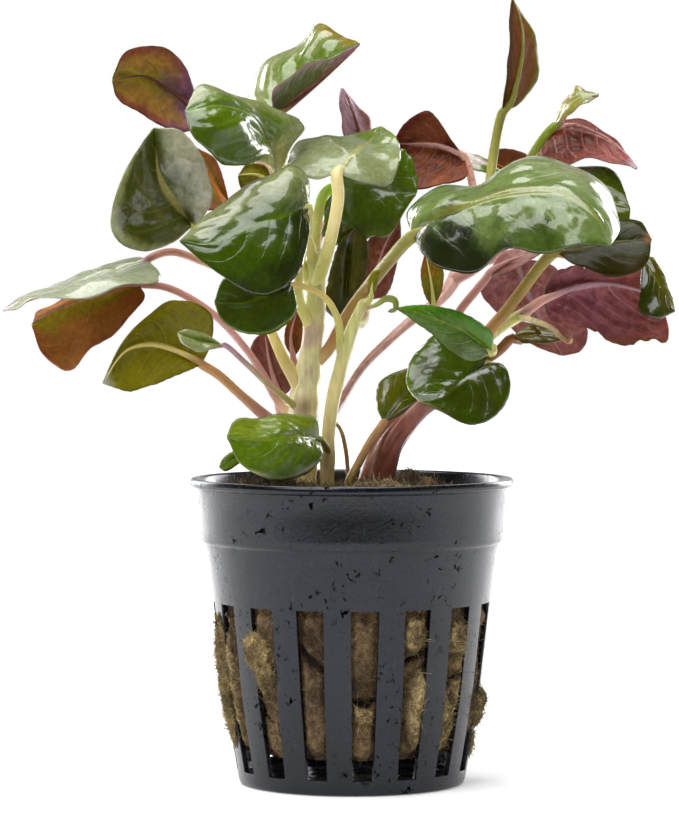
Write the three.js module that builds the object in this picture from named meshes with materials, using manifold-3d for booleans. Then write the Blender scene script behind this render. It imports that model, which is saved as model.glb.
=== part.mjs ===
// A potted cardinal flower: leaves and stems rooted in a rockwool plug, in a plastic net pot.
// Millimetres, +Z up, +Y away from the viewer. The origin is the middle of the pot's underside.
import * as THREE from "three";
import { mergeVertices } from "three/addons/utils/BufferGeometryUtils.js";
import Module from "manifold-3d";

const wasm = await Module();
wasm.setup();

// Driving sizes of the pot
const potHeight = 50;
const rimDiameter = 53;
const wall = 0.9;
const floorThickness = 1.3;
const slotCount = 16;
const slotPhase = 5.1;
const slotBottom = 2.5;
const slotTop = 30;
const slotTopWidth = 4.6;
const slotBottomWidth = 3.4;
const baseHoleCount = 8;

// Free space left between pieces that touch
const gap = 0.3;

// The eye that the readings below are taken from, in front of the plane of the stems
const eye = { across: -2.04, up: 86, distance: 640 };

// How much deeper than its readings the plant spreads, front to back
const fullness = 1.25;

// Leaf proportions: thickness at the midrib, stalk sides, and steps along blade and stalk
const leafThickness = 0.9;
const stalkSides = 5;
const bladeStep = 4.2;
const stalkStep = 6;
const camber = 0.14;

const palette = {
  plastic: { color: 0x2b2c2f, roughness: 0.45 },
  wool: { color: 0x7a6440, roughness: 1 },
  stemGreen: { color: 0xb9c074, roughness: 0.5 },
  stemPink: { color: 0xb98078, roughness: 0.5 },
  leafGreen: { color: 0x3f6b1e, roughness: 0.25 },
  leafOlive: { color: 0x77751c, roughness: 0.4 },
  leafBronze: { color: 0x7d4a2c, roughness: 0.4 },
  leafPurple: { color: 0x6c3a48, roughness: 0.4 },
};

// A point read from in front, across and up in the plane of the stems, set back to its true depth
function seen([across, up, back]) {
  const depth = back * fullness;
  const grow = (eye.distance + depth) / eye.distance;
  const x = eye.across + (across - eye.across) * grow;
  const z = eye.up + (up - eye.up) * grow;
  return new THREE.Vector3(x, depth, z);
}

function curveThrough(points) {
  return new THREE.CatmullRomCurve3(points, false, "centripetal");
}

// A closed mesh from points and triangles, as a solid that can be cut and joined
function solidFrom(points, triangles) {
  const geometry = new THREE.BufferGeometry().setFromPoints(points);
  geometry.setIndex(triangles.flat());
  return solidOf(geometry);
}

function solidOf(geometry) {
  geometry.deleteAttribute("normal");
  geometry.deleteAttribute("uv");
  const merged = mergeVertices(geometry, 1e-4);
  const index = merged.index.array;
  const kept = [];
  for (let i = 0; i < index.length; i += 3) {
    const [a, b, c] = [index[i], index[i + 1], index[i + 2]];
    if (a !== b && b !== c && c !== a) kept.push(a, b, c);
  }
  const vertProperties = new Float32Array(merged.getAttribute("position").array);
  const build = (list) => new wasm.Manifold(
    new wasm.Mesh({ numProp: 3, vertProperties, triVerts: new Uint32Array(list) }));
  const solid = build(kept);
  return solid.volume() > 0 ? solid : build(kept.reverse());
}

function meshOf(name, solid, paint) {
  const { vertProperties, triVerts } = solid.getMesh();
  const geometry = new THREE.BufferGeometry();
  geometry.setAttribute("position", new THREE.BufferAttribute(new Float32Array(vertProperties), 3));
  geometry.setIndex(new THREE.BufferAttribute(new Uint32Array(triVerts), 1));
  const mesh = new THREE.Mesh(geometry, new THREE.MeshStandardMaterial(palette[paint]));
  mesh.name = name;
  return mesh;
}

// Rings of points joined side by side, with a point closing each end
function ringsSolid(start, rings, end) {
  const sides = rings[0].length;
  const points = [start, ...rings.flat(), end];
  const last = points.length - 1;
  const triangles = [];
  for (let s = 0; s < sides; s++) {
    const t = (s + 1) % sides;
    triangles.push([0, 1 + t, 1 + s]);
    for (let r = 0; r < rings.length - 1; r++) {
      const near = 1 + r * sides;
      const far = near + sides;
      triangles.push([near + s, near + t, far + t], [near + s, far + t, far + s]);
    }
    triangles.push([last, last - sides + s, last - sides + t]);
  }
  return solidFrom(points, triangles);
}

// A round stalk through real points, its width changing evenly from one given width to the next
function tube(points, widths, sides, step, grown = 0) {
  const path = curveThrough(points);
  const count = Math.max(2, Math.ceil(path.getLength() / step));
  const frames = path.computeFrenetFrames(count, false);
  const rings = [];
  for (let i = 0; i <= count; i++) {
    const centre = path.getPointAt(i / count);
    const place = (i / count) * (widths.length - 1);
    const low = Math.min(Math.floor(place), widths.length - 2);
    const radius = THREE.MathUtils.lerp(widths[low], widths[low + 1], place - low) / 2 + grown;
    rings.push(Array.from({ length: sides }, (_, s) => {
      const turn = (s / sides) * Math.PI * 2;
      return centre.clone()
        .addScaledVector(frames.normals[i], Math.cos(turn) * radius)
        .addScaledVector(frames.binormals[i], Math.sin(turn) * radius);
    }));
  }
  return ringsSolid(points[0], rings, points[points.length - 1]);
}

// Which way a blade's upper face looks: towards the eye, away from it, or to the sky
function upperSide(normal, centre, shows) {
  const toEye = new THREE.Vector3(eye.across, -eye.distance, eye.up).sub(centre);
  if (shows === "sky") return Math.sign(normal.z);
  return Math.sign(normal.dot(toEye)) * (shows === "under" ? -1 : 1);
}

// One edge of a blade: it starts at the blade's base, bows out through its points and ends at the tip
function bladeEdge(rib, base, points, lean, tip) {
  const inner = points.map(([across, up], i) => {
    const along = (i + 1) / (points.length + 1);
    const back = rib.getPointAt(along).y / fullness + lean * Math.sin(Math.PI * along) ** 0.6;
    return seen([across, up, back]);
  });
  return curveThrough([base, ...inner, tip]);
}

// A blade: thick along its midrib, thin at its edges, arched up between them
function blade({ rib, sides, lean, shows }) {
  const ribPoints = rib.map(seen);
  const ribCurve = curveThrough(ribPoints);
  const [base, tip] = [ribPoints[0], ribPoints[ribPoints.length - 1]];
  const edges = sides.map((points, i) => bladeEdge(ribCurve, base, points, lean[i], tip));
  const rows = THREE.MathUtils.clamp(Math.round(ribCurve.getLength() / bladeStep) + 1, 4, 8);
  const middle = edges.map((edge) => edge.getPointAt(0.5));
  const span = middle[1].clone().sub(middle[0]);
  const facing = ribCurve.getTangentAt(0.5).cross(span);
  const side = upperSide(facing, ribCurve.getPointAt(0.5), shows);

  const rings = [];
  for (let r = 1; r < rows; r++) {
    const u = r / rows;
    const centre = ribCurve.getPointAt(u);
    const ends = edges.map((edge) => edge.getPointAt(u));
    const across = ends[1].clone().sub(ends[0]);
    const normal = ribCurve.getTangentAt(u).cross(across).normalize().multiplyScalar(side);
    const half = (end) => centre.clone().lerp(end, 0.5)
      .addScaledVector(normal, camber * centre.distanceTo(end));
    const thick = leafThickness * Math.sin(Math.PI * u) ** 0.4;
    const lift = (point, amount) => point.clone().addScaledVector(normal, amount * thick);
    const [left, right] = [half(ends[0]), half(ends[1])];
    rings.push([
      ends[0], lift(left, 0.35), lift(centre, 0.5), lift(right, 0.35),
      ends[1], lift(right, -0.35), lift(centre, -0.5), lift(left, -0.35),
    ]);
  }
  return ringsSolid(base, rings, tip);
}

// A leaf: its stalk runs from the middle of the stem that bears it to a little inside the blade
function leafStalk(spec, grown) {
  const inside = curveThrough(spec.rib.map(seen)).getPointAt(0.12);
  const route = [...spec.stalk.map(seen), seen(spec.rib[0]), inside];
  const [thick, thin] = spec.width ?? [1.7, 1.3];
  return tube(route, [thick, thin, thin], stalkSides, stalkStep, grown);
}

function leafSolid(spec, bearer) {
  return leafStalk(spec, 0).add(blade(spec)).subtract(bearer);
}

// Stems: points as across, up and back, and widths from the lowest point to the last
const stems = {
  stem_main: {
    paint: "stemGreen",
    path: [[-7.6, 41, 0], [-8, 50, 0], [-7.9, 60, 0], [-6.8, 70, 0], [-6, 79, 0], [-6.2, 88, 0.5]],
    widths: [4.4, 4.4, 4.3, 3.5, 2.7, 2.1],
  },
  stem_front: {
    paint: "stemGreen",
    path: [
      [-3.6, 41, -3], [-4, 50, -3.2], [-3.5, 60, -3.2], [-1.6, 69, -2.5], [0.2, 75, -2.2],
      [2.3, 79.3, -2.4],
    ],
    widths: [3, 2.4, 2.1, 2.3, 2, 1.5],
  },
  stem_red: {
    paint: "stemPink",
    path: [[3, 41, 2], [4.2, 50, 2], [6.4, 56, 2], [10.5, 60.8, 2.5], [16, 66, 3], [22.3, 73, 4]],
    widths: [5.6, 5.6, 4.6, 3.2, 2.5, 2.1],
  },
  stem_pink: {
    paint: "stemPink",
    from: "stem_front",
    path: [
      [-3.1, 60.5, -2.5], [-1.2, 63.6, 0.5], [2, 68.5, 3.5], [10, 76, 8], [15, 79.8, 11],
      [19.3, 88, 14],
    ],
    widths: [1.4, 1.3, 1.4, 1.6, 1.9, 1.6],
  },
  stem_right_branch: {
    paint: "stemGreen",
    from: "stem_red",
    path: [[22, 72.7, 4], [24.3, 74.6, 5.4], [27, 76.3, 6.8], [29.2, 77.6, 7.6]],
    widths: [1.9, 2, 1.9, 1.6],
  },
  stalk_thin: {
    paint: "stemPink",
    from: "stem_front",
    path: [[-0.2, 43, 0], [-0.6, 50, 0], [-1.1, 55, -0.6], [-1.9, 58, -1.4], [-3.4, 59.6, -2.9]],
    widths: [0.8, 0.7, 0.7, 0.6],
  },
  bud_centre: {
    paint: "stemGreen",
    from: "stem_front",
    path: [
      [1.4, 77.4, -2.3], [4, 78.3, -2.2], [5.6, 79.3, -2.6], [7, 79, -3], [7.1, 77.6, -3.2],
      [5.9, 77.2, -3.2],
    ],
    widths: [0.9, 0.8, 1.1, 1.5, 1.2, 0.7],
    step: 1.6,
  },
  bud_right: {
    paint: "stemGreen",
    from: "stem_right_branch",
    path: [
      [27, 76.3, 6.8], [30, 75.6, 2], [33, 74.3, -2.6], [34.6, 72.7, -4.2], [35.6, 72.2, -4.8],
      [35.9, 73.1, -5.2],
    ],
    widths: [1.3, 1.5, 1.5, 1.2, 1.1, 0.8],
    step: 2.4,
  },
};

// Leaves, from the upper left to the lower right. The stalk's points lead from the stem to the
// blade; the rib runs from the blade's base to its tip; the two sides are the blade's edges
// between base and tip; lean is how far each edge lies behind (+) or before (-) the rib.
const leaves = {
  leaf_01_upper_left: {
    paint: "leafOlive",
    from: "stem_main",
    stalk: [[-6.05, 83.2, 0.2], [-8.6, 88, 6], [-12.4, 98, 12], [-18, 105, 14]],
    rib: [[-25, 110, 13], [-30, 113.4, 11], [-34, 115.6, 8], [-39.1, 115, 4]],
    sides: [
      [[-26.3, 115.2], [-29.3, 119.7], [-33, 120.6], [-37, 119.4]],
      [[-26.5, 106.6], [-30.5, 107.1], [-34.5, 109.6], [-38, 111.6]],
    ],
    lean: [-4, -3],
    shows: "under",
  },
  leaf_02_high_left: {
    paint: "leafGreen",
    from: "stem_main",
    stalk: [[-6.1, 85, 0.2], [-8.4, 91.5, -3.4], [-10.6, 96, -4]],
    rib: [[-12, 99, -4], [-13.4, 104.5, -5], [-16.5, 109.2, -9], [-21.5, 110.8, -13], [-27.3, 110, -16]],
    sides: [
      [[-9.8, 104.3], [-7.8, 107.6], [-12.5, 110.5], [-18.5, 112.3], [-24.5, 114.3]],
      [[-14.5, 101.6], [-18.5, 101], [-22.5, 102.2], [-26, 106]],
    ],
    lean: [5, -6],
    shows: "top",
  },
  leaf_03_left: {
    paint: "leafGreen",
    from: "stem_main",
    stalk: [[-8.4, 64, -0.2], [-11.2, 69.5, 0], [-13.5, 74.5, 1.8], [-19, 85, 4.2]],
    rib: [[-26, 91.3, 5], [-28.8, 95, 3], [-31.5, 99.5, 1], [-32.3, 107.2, 0]],
    sides: [
      [[-29.5, 88.2], [-34.5, 87.2], [-38.4, 88.8], [-39.3, 94], [-36.8, 100.5], [-34, 105.2]],
      [[-24, 92.8], [-22.8, 97], [-24.5, 102.5], [-28, 106.8]],
    ],
    lean: [-4, -1],
    shows: "top",
    width: [2, 1.5],
  },
  leaf_04_left_behind: {
    paint: "leafBronze",
    from: "stem_main",
    stalk: [[-5.95, 81.5, 0.1], [-9, 84.6, 6], [-15, 90, 9.6]],
    rib: [[-20, 94, 11], [-22.8, 98.5, 12], [-25.5, 104, 12]],
    sides: [
      [[-20.6, 97.4], [-22.4, 102.2]],
      [[-24.4, 94], [-26.5, 99]],
    ],
    lean: [-1, -1],
    shows: "under",
  },
  leaf_05_top: {
    paint: "leafGreen",
    from: "stem_main",
    stalk: [[-6.1, 84.8, 0.3], [-8.9, 90, 2.8], [-10.2, 99, 3.6], [-12, 105.4, 3.4]],
    rib: [[-13, 109.6, 2], [-9, 112.2, 3], [-4.5, 115.8, 3], [1.3, 121, 1]],
    sides: [
      [[-17.3, 112.3], [-14.4, 117], [-10, 120.4], [-5.6, 124], [-2, 122.4]],
      [[-12.8, 113], [-10.5, 115.7], [-6, 117.8], [-2, 119.3]],
    ],
    lean: [9, -7],
    shows: "sky",
  },
  leaf_06_front_left: {
    paint: "leafGreen",
    from: "stem_main",
    stalk: [[-7, 75, -0.5], [-8.6, 79, -4], [-8.6, 84, -6]],
    rib: [[-7.1, 94.3, -8], [-12, 92.6, -13], [-18, 90.3, -16], [-23.5, 88.2, -18], [-28.2, 88.8, -19]],
    sides: [
      [[-7.2, 98.6], [-9.6, 101.2], [-14, 99.4], [-20, 96], [-25.5, 91.4]],
      [[-7, 90], [-8.4, 84], [-12.5, 80.1], [-18, 80.9], [-24, 85]],
    ],
    lean: [7, -2],
    shows: "top",
  },
  leaf_07_below_front_left: {
    paint: "leafGreen",
    from: "stem_front",
    stalk: [[-1.9, 71.5, -2.4], [-2.4, 76.2, -5.5], [-4.8, 79.8, -7.5]],
    rib: [[-9.8, 81.6, -7.5], [-13.5, 80, -8.5], [-18, 78.5, -9.5], [-22.5, 78.8, -10]],
    sides: [
      [[-12, 84], [-17, 84.5], [-21, 82.6]],
      [[-9, 77.4], [-12.5, 73.9], [-17.5, 73.6], [-21.4, 75.9]],
    ],
    lean: [0, -1],
    shows: "top",
    width: [1.2, 1],
  },
  leaf_08_far_left: {
    paint: "leafGreen",
    from: "stem_main",
    stalk: [[-6.6, 76.5, 0.3], [-11, 79, 5.5], [-17, 82.2, 9.5], [-24.5, 85.4, 8], [-29.5, 86.9, 5]],
    rib: [[-33.3, 85.7, 2], [-38, 83.3, -1], [-46, 81.3, -6], [-52, 79.6, -10], [-57.2, 77.4, -13]],
    sides: [
      [[-35, 86.1], [-40.5, 84], [-47, 81.9], [-53, 79.5]],
      [[-31.5, 82.6], [-38, 80.9], [-46.5, 79.1], [-52.4, 79.2], [-55, 77.6]],
    ],
    lean: [9, -7],
    shows: "sky",
    width: [1.3, 1.3],
  },
  leaf_09_far_left_hanging: {
    paint: "leafBronze",
    from: "stem_main",
    stalk: [[-8.9, 58.5, 0.5], [-12, 62.5, 2], [-16.5, 70, 3], [-22.5, 76.6, 3], [-30, 81, 1]],
    rib: [[-34.8, 81.6, -1], [-40, 80.2, -2.5], [-46, 78.6, -4], [-52.4, 75, -6]],
    sides: [
      [[-38, 81.9], [-43, 80.9], [-48, 79.2], [-51.3, 77.2]],
      [[-33.9, 79.4], [-37.5, 75], [-42.5, 71], [-46, 67.8], [-50.4, 69.9]],
    ],
    lean: [8, -3],
    shows: "under",
    width: [1.5, 1.2],
  },
  leaf_10_low_left: {
    paint: "leafOlive",
    from: "stem_main",
    stalk: [[-8.6, 56, -0.5], [-14, 60, -3], [-18, 63.4, -3.5], [-22, 66.9, -3]],
    rib: [[-24.6, 68.5, -3], [-28, 70.3, -4], [-33, 71.8, -6], [-37.5, 70.6, -9], [-40.8, 65.4, -12]],
    sides: [
      [[-23, 72], [-22.8, 76.2], [-25.5, 78.6], [-30, 78.9], [-34.5, 75.6], [-38.2, 70.9]],
      [[-27, 67.4], [-32, 65.4], [-36.5, 64.1], [-39, 64.8]],
    ],
    lean: [1, -2],
    shows: "under",
    width: [1.9, 1.5],
  },
  leaf_11_curled_left: {
    paint: "leafGreen",
    from: "stem_main",
    stalk: [[-8.5, 60.5, -0.5], [-14.5, 66, -5], [-18, 69.3, -7]],
    rib: [[-21, 71.8, -8.5], [-24.8, 72.4, -9.5], [-28.6, 73.8, -10.5]],
    sides: [
      [[-24, 73.5], [-27.2, 74.3]],
      [[-22.6, 71], [-25.6, 70.7], [-27.9, 72.2]],
    ],
    lean: [1, -2],
    shows: "top",
    width: [1, 0.9],
  },
  leaf_12_low_purple: {
    paint: "leafPurple",
    from: "stem_main",
    stalk: [[-8.8, 56, 0.8], [-11, 60, 4]],
    rib: [[-12, 63, 5], [-13.3, 68, 6], [-14.3, 73.9, 6]],
    sides: [
      [[-14.3, 65.3], [-16.7, 69.8], [-16, 72.6]],
      [[-10, 64.6], [-11.2, 69], [-12.6, 72.2]],
    ],
    lean: [-1, -1],
    shows: "under",
    width: [2.4, 1.8],
  },
  leaf_13_beside_stem: {
    paint: "leafPurple",
    from: "stem_main",
    stalk: [[-7.6, 63, 0.8], [-9, 67.6, 3.5]],
    rib: [[-9.6, 69.5, 4.2], [-10, 73, 4.6], [-9, 77.4, 4.6]],
    sides: [
      [[-11, 72], [-10.6, 75.4]],
      [[-8.3, 71.6], [-8, 75]],
    ],
    lean: [0, 0],
    shows: "under",
    width: [1.3, 1.2],
  },
  leaf_14_front_low: {
    paint: "leafGreen",
    from: "stem_front",
    stalk: [[-3.8, 53.5, -3.2]],
    rib: [[-5.2, 56.3, -6.5], [-10, 56.8, -12], [-15, 56, -16], [-20.5, 56.8, -18]],
    sides: [
      [[-6, 59.8], [-10.5, 60.5], [-15.5, 59.9], [-19.2, 59.4]],
      [[-5, 53], [-8.5, 50], [-13, 49.6], [-18, 51.9]],
    ],
    lean: [3, -2],
    shows: "top",
  },
  leaf_15_tiny_low: {
    paint: "leafGreen",
    from: "stem_main",
    stalk: [[-8.4, 51.6, -0.5], [-13, 52.6, -6]],
    rib: [[-17, 53.6, -10], [-19.5, 53, -11], [-21.8, 51.7, -11.5]],
    sides: [
      [[-19, 54.5], [-21.2, 53.2]],
      [[-18.6, 52.2], [-20.8, 51]],
    ],
    lean: [0, 0],
    shows: "top",
    width: [1, 0.9],
  },
  leaf_16_centre_top: {
    paint: "leafGreen",
    from: "stem_main",
    stalk: [[-5.9, 81.5, -0.2], [-4.2, 86.5, -3.4], [-3, 91, -5], [-2.2, 96, -6]],
    rib: [[-2.4, 99.8, -6], [0.3, 102.9, -3], [3, 105, 4], [4.8, 107.5, 11]],
    sides: [
      [[-6.6, 98.7], [-10.7, 101.6], [-9, 104.5], [-3, 105.2], [1.5, 106.4]],
      [[2, 98.1], [6, 98.1], [7.8, 101.6], [7.8, 104.6], [6.4, 106.4]],
    ],
    lean: [-1, -3],
    shows: "sky",
    width: [2.1, 2],
  },
  leaf_17_centre_behind: {
    paint: "leafGreen",
    from: "stem_main",
    stalk: [[-6.2, 87.4, 0.5], [-5.7, 92, 2.4], [-4.6, 96.4, 5.6]],
    rib: [[-2.6, 97.6, 9], [1, 98, 12], [6, 97, 13], [10.6, 96.6, 11]],
    sides: [
      [[-3, 101.5], [2, 104.2], [8, 104.2], [10.6, 100.6]],
      [[-5.6, 92], [-3.6, 88.6], [2, 88.4], [6.2, 90], [9.2, 94.4]],
    ],
    lean: [0, -2],
    shows: "top",
    width: [1.8, 1.7],
  },
  leaf_18_purple_tip: {
    paint: "leafPurple",
    from: "stem_main",
    stalk: [[-6, 78.6, 0], [-5.8, 81, 6], [-5.9, 85, 12], [-5, 90, 17], [-2.6, 95, 20]],
    rib: [[1.4, 103.3, 20], [0.5, 108, 20], [-1.9, 113.7, 18.5]],
    sides: [
      [[-0.9, 104.6], [-1.8, 109], [-2.1, 112]],
      [[3.2, 105.4], [3, 108.4], [0.8, 111]],
    ],
    lean: [-2, 2],
    shows: "under",
    width: [1.5, 1.2],
  },
  leaf_19_red_behind: {
    paint: "leafBronze",
    from: "stem_pink",
    stalk: [[19.15, 87.8, 13.95], [20, 92.5, 15.2], [19.6, 98, 16.5]],
    rib: [[18.2, 102.6, 16.5], [14.5, 104.2, 17], [10.5, 104.5, 18], [6.5, 104.5, 19]],
    sides: [
      [[16.4, 105], [12.4, 110], [8.5, 107.8]],
      [[18.7, 99.2], [14, 97.7], [9, 97.4], [6.9, 101]],
    ],
    lean: [-2, -3],
    shows: "under",
    width: [1.5, 1.4],
  },
  leaf_20_sliver: {
    paint: "leafGreen",
    from: "stem_pink",
    stalk: [[18.8, 86.8, 13.7], [21, 90.4, 18.6], [24.4, 96.8, 20.6]],
    rib: [[24.4, 100.2, 21], [21, 101.3, 21], [17.6, 103.3, 21]],
    sides: [
      [[22.3, 102], [19.5, 103]],
      [[22.2, 99.7], [19.4, 100.7]],
    ],
    lean: [2, -2],
    shows: "sky",
    width: [1.3, 1.1],
  },
  leaf_21_brown_behind: {
    paint: "leafBronze",
    from: "stem_pink",
    stalk: [[17.9, 85.1, 13], [22.4, 87.7, 18.6], [29.6, 91.6, 23.4]],
    rib: [[31.5, 96.5, 24.5], [27, 99.5, 25], [22.7, 101.8, 25]],
    sides: [
      [[30.4, 101.4], [27, 103.5], [23.4, 103.6]],
      [[28.6, 95.4], [25, 95.8], [22.6, 98.5]],
    ],
    lean: [-1, -1],
    shows: "under",
    width: [1.5, 1.3],
  },
  leaf_22_tall: {
    paint: "leafBronze",
    from: "stem_pink",
    stalk: [[18.6, 86.4, 13.5], [20.4, 90, 10.6], [22.3, 97, 9.6], [23.3, 104, 9.8]],
    rib: [[24.5, 109.6, 9.5], [26.2, 114, 9], [27.4, 119, 8.5], [27.3, 124, 8], [26, 128.3, 7.5]],
    sides: [
      [[24.8, 112], [25.3, 116.5], [25.7, 121.5], [25.7, 125.6]],
      [[28, 111.6], [30.5, 116.5], [29.9, 121.8], [27.9, 125.8]],
    ],
    lean: [-2, 3],
    shows: "under",
    width: [1.7, 1.6],
  },
  leaf_23_rolled_shoot: {
    paint: "leafOlive",
    from: "stem_pink",
    stalk: [[17.9, 84.9, 13], [21.3, 87, 9.4], [25.6, 93, 9.2], [29.2, 102.5, 8.5]],
    rib: [[33, 107.4, 8], [35.2, 110.6, 7], [37.4, 112.2, 6], [40.3, 112.8, 5]],
    sides: [
      [[33.6, 109.9], [36.6, 114], [38.2, 113.3]],
      [[35, 108.8], [37, 110.6], [38.6, 111.5]],
    ],
    lean: [2, -2],
    shows: "top",
    width: [1.4, 1.4],
  },
  leaf_24_drooping_right: {
    paint: "leafBronze",
    from: "stem_pink",
    stalk: [[17.3, 84, 12.6], [21.8, 87.7, 14], [28, 93.2, 15.4], [29.8, 99, 15]],
    rib: [[31.2, 105, 14], [35, 107.2, 12], [40, 106, 8], [43.6, 103.6, 5], [46.5, 100.3, 3]],
    sides: [
      [[32.6, 108], [37.5, 108.5], [41.5, 106.5], [44.6, 103.4]],
      [[30.9, 102.8], [33.8, 101.2], [38, 102], [42.5, 101.5], [45, 101.1]],
    ],
    lean: [5, -5],
    shows: "under",
    width: [1.4, 1.3],
  },
  leaf_25_big_right: {
    paint: "leafGreen",
    from: "stem_main",
    stalk: [
      [-7, 67.4, 0], [-3.7, 71.2, 0.4], [-1.9, 74.5, 1.2], [0.4, 78.2, 1.6], [3, 81.6, 0.2],
      [6, 85.4, -4],
    ],
    rib: [
      [10, 89.6, -10], [13.2, 91.7, -12], [20, 95, -15], [27, 96.7, -18], [34, 96.6, -21],
      [39.8, 93, -23], [42.3, 88, -24],
    ],
    sides: [
      [[9, 94], [14, 97.6], [21, 97.4], [28.7, 103], [36.5, 100.2], [41.8, 97.6], [43.8, 91.5]],
      [[11.5, 86.6], [15, 83.9], [20, 84], [25.5, 87], [32, 87], [38, 88.2]],
    ],
    lean: [12, -2],
    shows: "top",
    width: [2, 2.1],
  },
  leaf_26_right_behind: {
    paint: "leafGreen",
    from: "stem_pink",
    stalk: [[16.5, 82.2, 12.1], [19.4, 83.9, 9.8], [23.6, 86.8, 7], [27.4, 90, 5.2]],
    rib: [[31, 92, 4], [37, 96, 3], [45.5, 94, 1]],
    sides: [
      [[33, 99.6], [38, 101.1], [43, 99.9]],
      [[36, 90.6], [41, 89.4], [45, 90.8]],
    ],
    lean: [4, -2],
    shows: "top",
    width: [2, 1.6],
  },
  leaf_27_right_low_band: {
    paint: "leafOlive",
    from: "stem_red",
    stalk: [[20.5, 71, 3.7], [22.7, 74.3, 1.2], [25, 77, 0.6], [28, 81, 0], [31, 85, -1.6]],
    rib: [[33.4, 87, -3], [38, 87.6, -4.5], [43, 88.6, -5.5], [49, 89, -6]],
    sides: [
      [[35, 90], [41, 92], [46.6, 92.3]],
      [[36.5, 84.8], [41, 83.4], [45, 82.9], [48.2, 85.3]],
    ],
    lean: [4, -4],
    shows: "top",
    width: [2, 1.9],
  },
  leaf_28_narrow_right: {
    paint: "leafPurple",
    from: "stem_red",
    stalk: [[12.6, 62.7, 2.7], [13.4, 67.5, 5.4], [15.2, 73, 7.2], [17.7, 77.5, 7.2], [20.2, 80.6, 6.2]],
    rib: [[22.2, 83, 5], [26, 85.3, 3.6], [31.8, 87.2, 2.4]],
    sides: [
      [[24, 86.4], [28.5, 88]],
      [[24.5, 83.2], [28.5, 85.1]],
    ],
    lean: [1, -1],
    shows: "under",
    width: [1.6, 1.4],
  },
  leaf_29_far_right: {
    paint: "leafGreen",
    from: "stem_pink",
    stalk: [[17, 83.2, 12.4], [21.2, 85.1, 14.8], [31, 87.9, 14], [41, 88.8, 9.6]],
    rib: [[47.4, 86.2, 4], [49.8, 82.5, 2], [52.9, 77.2, 0]],
    sides: [
      [[49.9, 85.7], [52, 81.8]],
      [[47.2, 81.5], [47.2, 77.2], [49.8, 76]],
    ],
    lean: [3, -3],
    shows: "top",
    width: [1.4, 1.2],
  },
  leaf_30_big_purple: {
    paint: "leafPurple",
    from: "stem_right_branch",
    stalk: [[28.6, 77.3, 7.2]],
    rib: [[31.4, 79.2, 9.4], [36, 81, 12], [42, 81.8, 13], [50.8, 79.5, 12]],
    sides: [
      [[32.5, 83], [38, 85], [45, 85.4], [50, 83.2]],
      [[32.4, 75.6], [38, 74.8], [42, 72.6], [47, 72], [51.4, 72.4]],
    ],
    lean: [-1, -2],
    shows: "under",
    width: [1.5, 1.4],
  },
  leaf_31_purple_lobe: {
    paint: "leafPurple",
    from: "stem_pink",
    stalk: [[15.6, 81, 11.5], [17.8, 83.2, 15], [22, 85.8, 17.4]],
    rib: [[26.5, 86, 18], [28.5, 81, 18.5], [31, 75.5, 18.5], [34.4, 70, 17]],
    sides: [
      [[22.6, 83.6], [21, 80.6], [24.5, 76.2], [29, 72]],
      [[33, 84.6], [36, 79], [38.6, 73.6], [37.4, 70.8]],
    ],
    lean: [-2, -2],
    shows: "under",
    width: [1.5, 1.4],
  },
  leaf_32_front_right: {
    paint: "leafGreen",
    from: "stem_red",
    stalk: [[19.3, 69.6, 3.5], [21.4, 70.9, 0], [23, 71.4, -3]],
    rib: [[22.8, 70.4, -5.5], [18.5, 73.8, -10], [13, 76.3, -15], [7.2, 77.9, -19]],
    sides: [
      [[23, 73.4], [20.8, 75.6], [16, 77.7], [11, 78.3]],
      [[19.6, 68.7], [16.4, 70.3], [12.8, 73.6], [9.6, 76]],
    ],
    lean: [2, -1],
    shows: "top",
    width: [1.5, 1.3],
  },
  leaf_33_front_right_round: {
    paint: "leafGreen",
    from: "stem_red",
    stalk: [[17, 67.2, 3.2], [19.6, 67.8, 0.4]],
    rib: [[22.2, 68.8, -1], [18, 66, -5], [14.5, 63, -8], [11.2, 62.4, -10]],
    sides: [
      [[21, 71], [14, 73.4], [10.3, 70.4], [8.8, 66.2], [9.8, 63.8]],
      [[24.8, 68.4], [25.9, 64.2], [23, 59.6], [18.6, 58.9], [14.3, 61]],
    ],
    lean: [3, -2],
    shows: "top",
    width: [1.5, 1.3],
  },
  leaf_34_low_right: {
    paint: "leafGreen",
    from: "stem_red",
    stalk: [[3.1, 43, 1.6], [0.2, 46, -1.8], [-0.6, 48.6, -2.8], [1.2, 52.6, -2.4], [3.3, 56.4, -1.2]],
    rib: [[5.2, 59, 0.2], [7.5, 62, 1], [10, 65, 2], [12.6, 68.4, 3]],
    sides: [
      [[4, 61.6], [4.5, 65.6], [8.5, 67.8]],
      [[8.6, 60.6], [12.6, 62.2], [14, 66]],
    ],
    lean: [0, 1],
    shows: "top",
    width: [1.7, 1.4],
  },
  leaf_35_small_olive: {
    paint: "leafOlive",
    from: "stem_red",
    stalk: [[18.4, 68.6, 3.4], [22, 69.4, 3], [24.2, 71, 2.6]],
    rib: [[26.2, 72.9, 2.2], [30, 73.3, 1.4], [35.4, 73, 0.4]],
    sides: [
      [[28.5, 74.9], [32.5, 74.5]],
      [[28.6, 72], [32.4, 71.9]],
    ],
    lean: [2, -2],
    shows: "top",
    width: [1.6, 1.7],
  },
  leaf_36_centre_dark: {
    paint: "leafGreen",
    from: "stem_main",
    stalk: [[-6.8, 68, 0.8], [-3.2, 72, 7]],
    rib: [[-1.6, 75, 9], [-1, 80, 10], [-0.6, 86, 10.5], [0.4, 91, 10]],
    sides: [
      [[-4.7, 78.2], [-3.8, 83], [-2, 88.6]],
      [[1.4, 77.6], [2.4, 83], [2.6, 88.6]],
    ],
    lean: [-1, -1],
    shows: "top",
    width: [1.4, 1.3],
  },
  leaf_37_centre_purple: {
    paint: "leafPurple",
    from: "stem_front",
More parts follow.
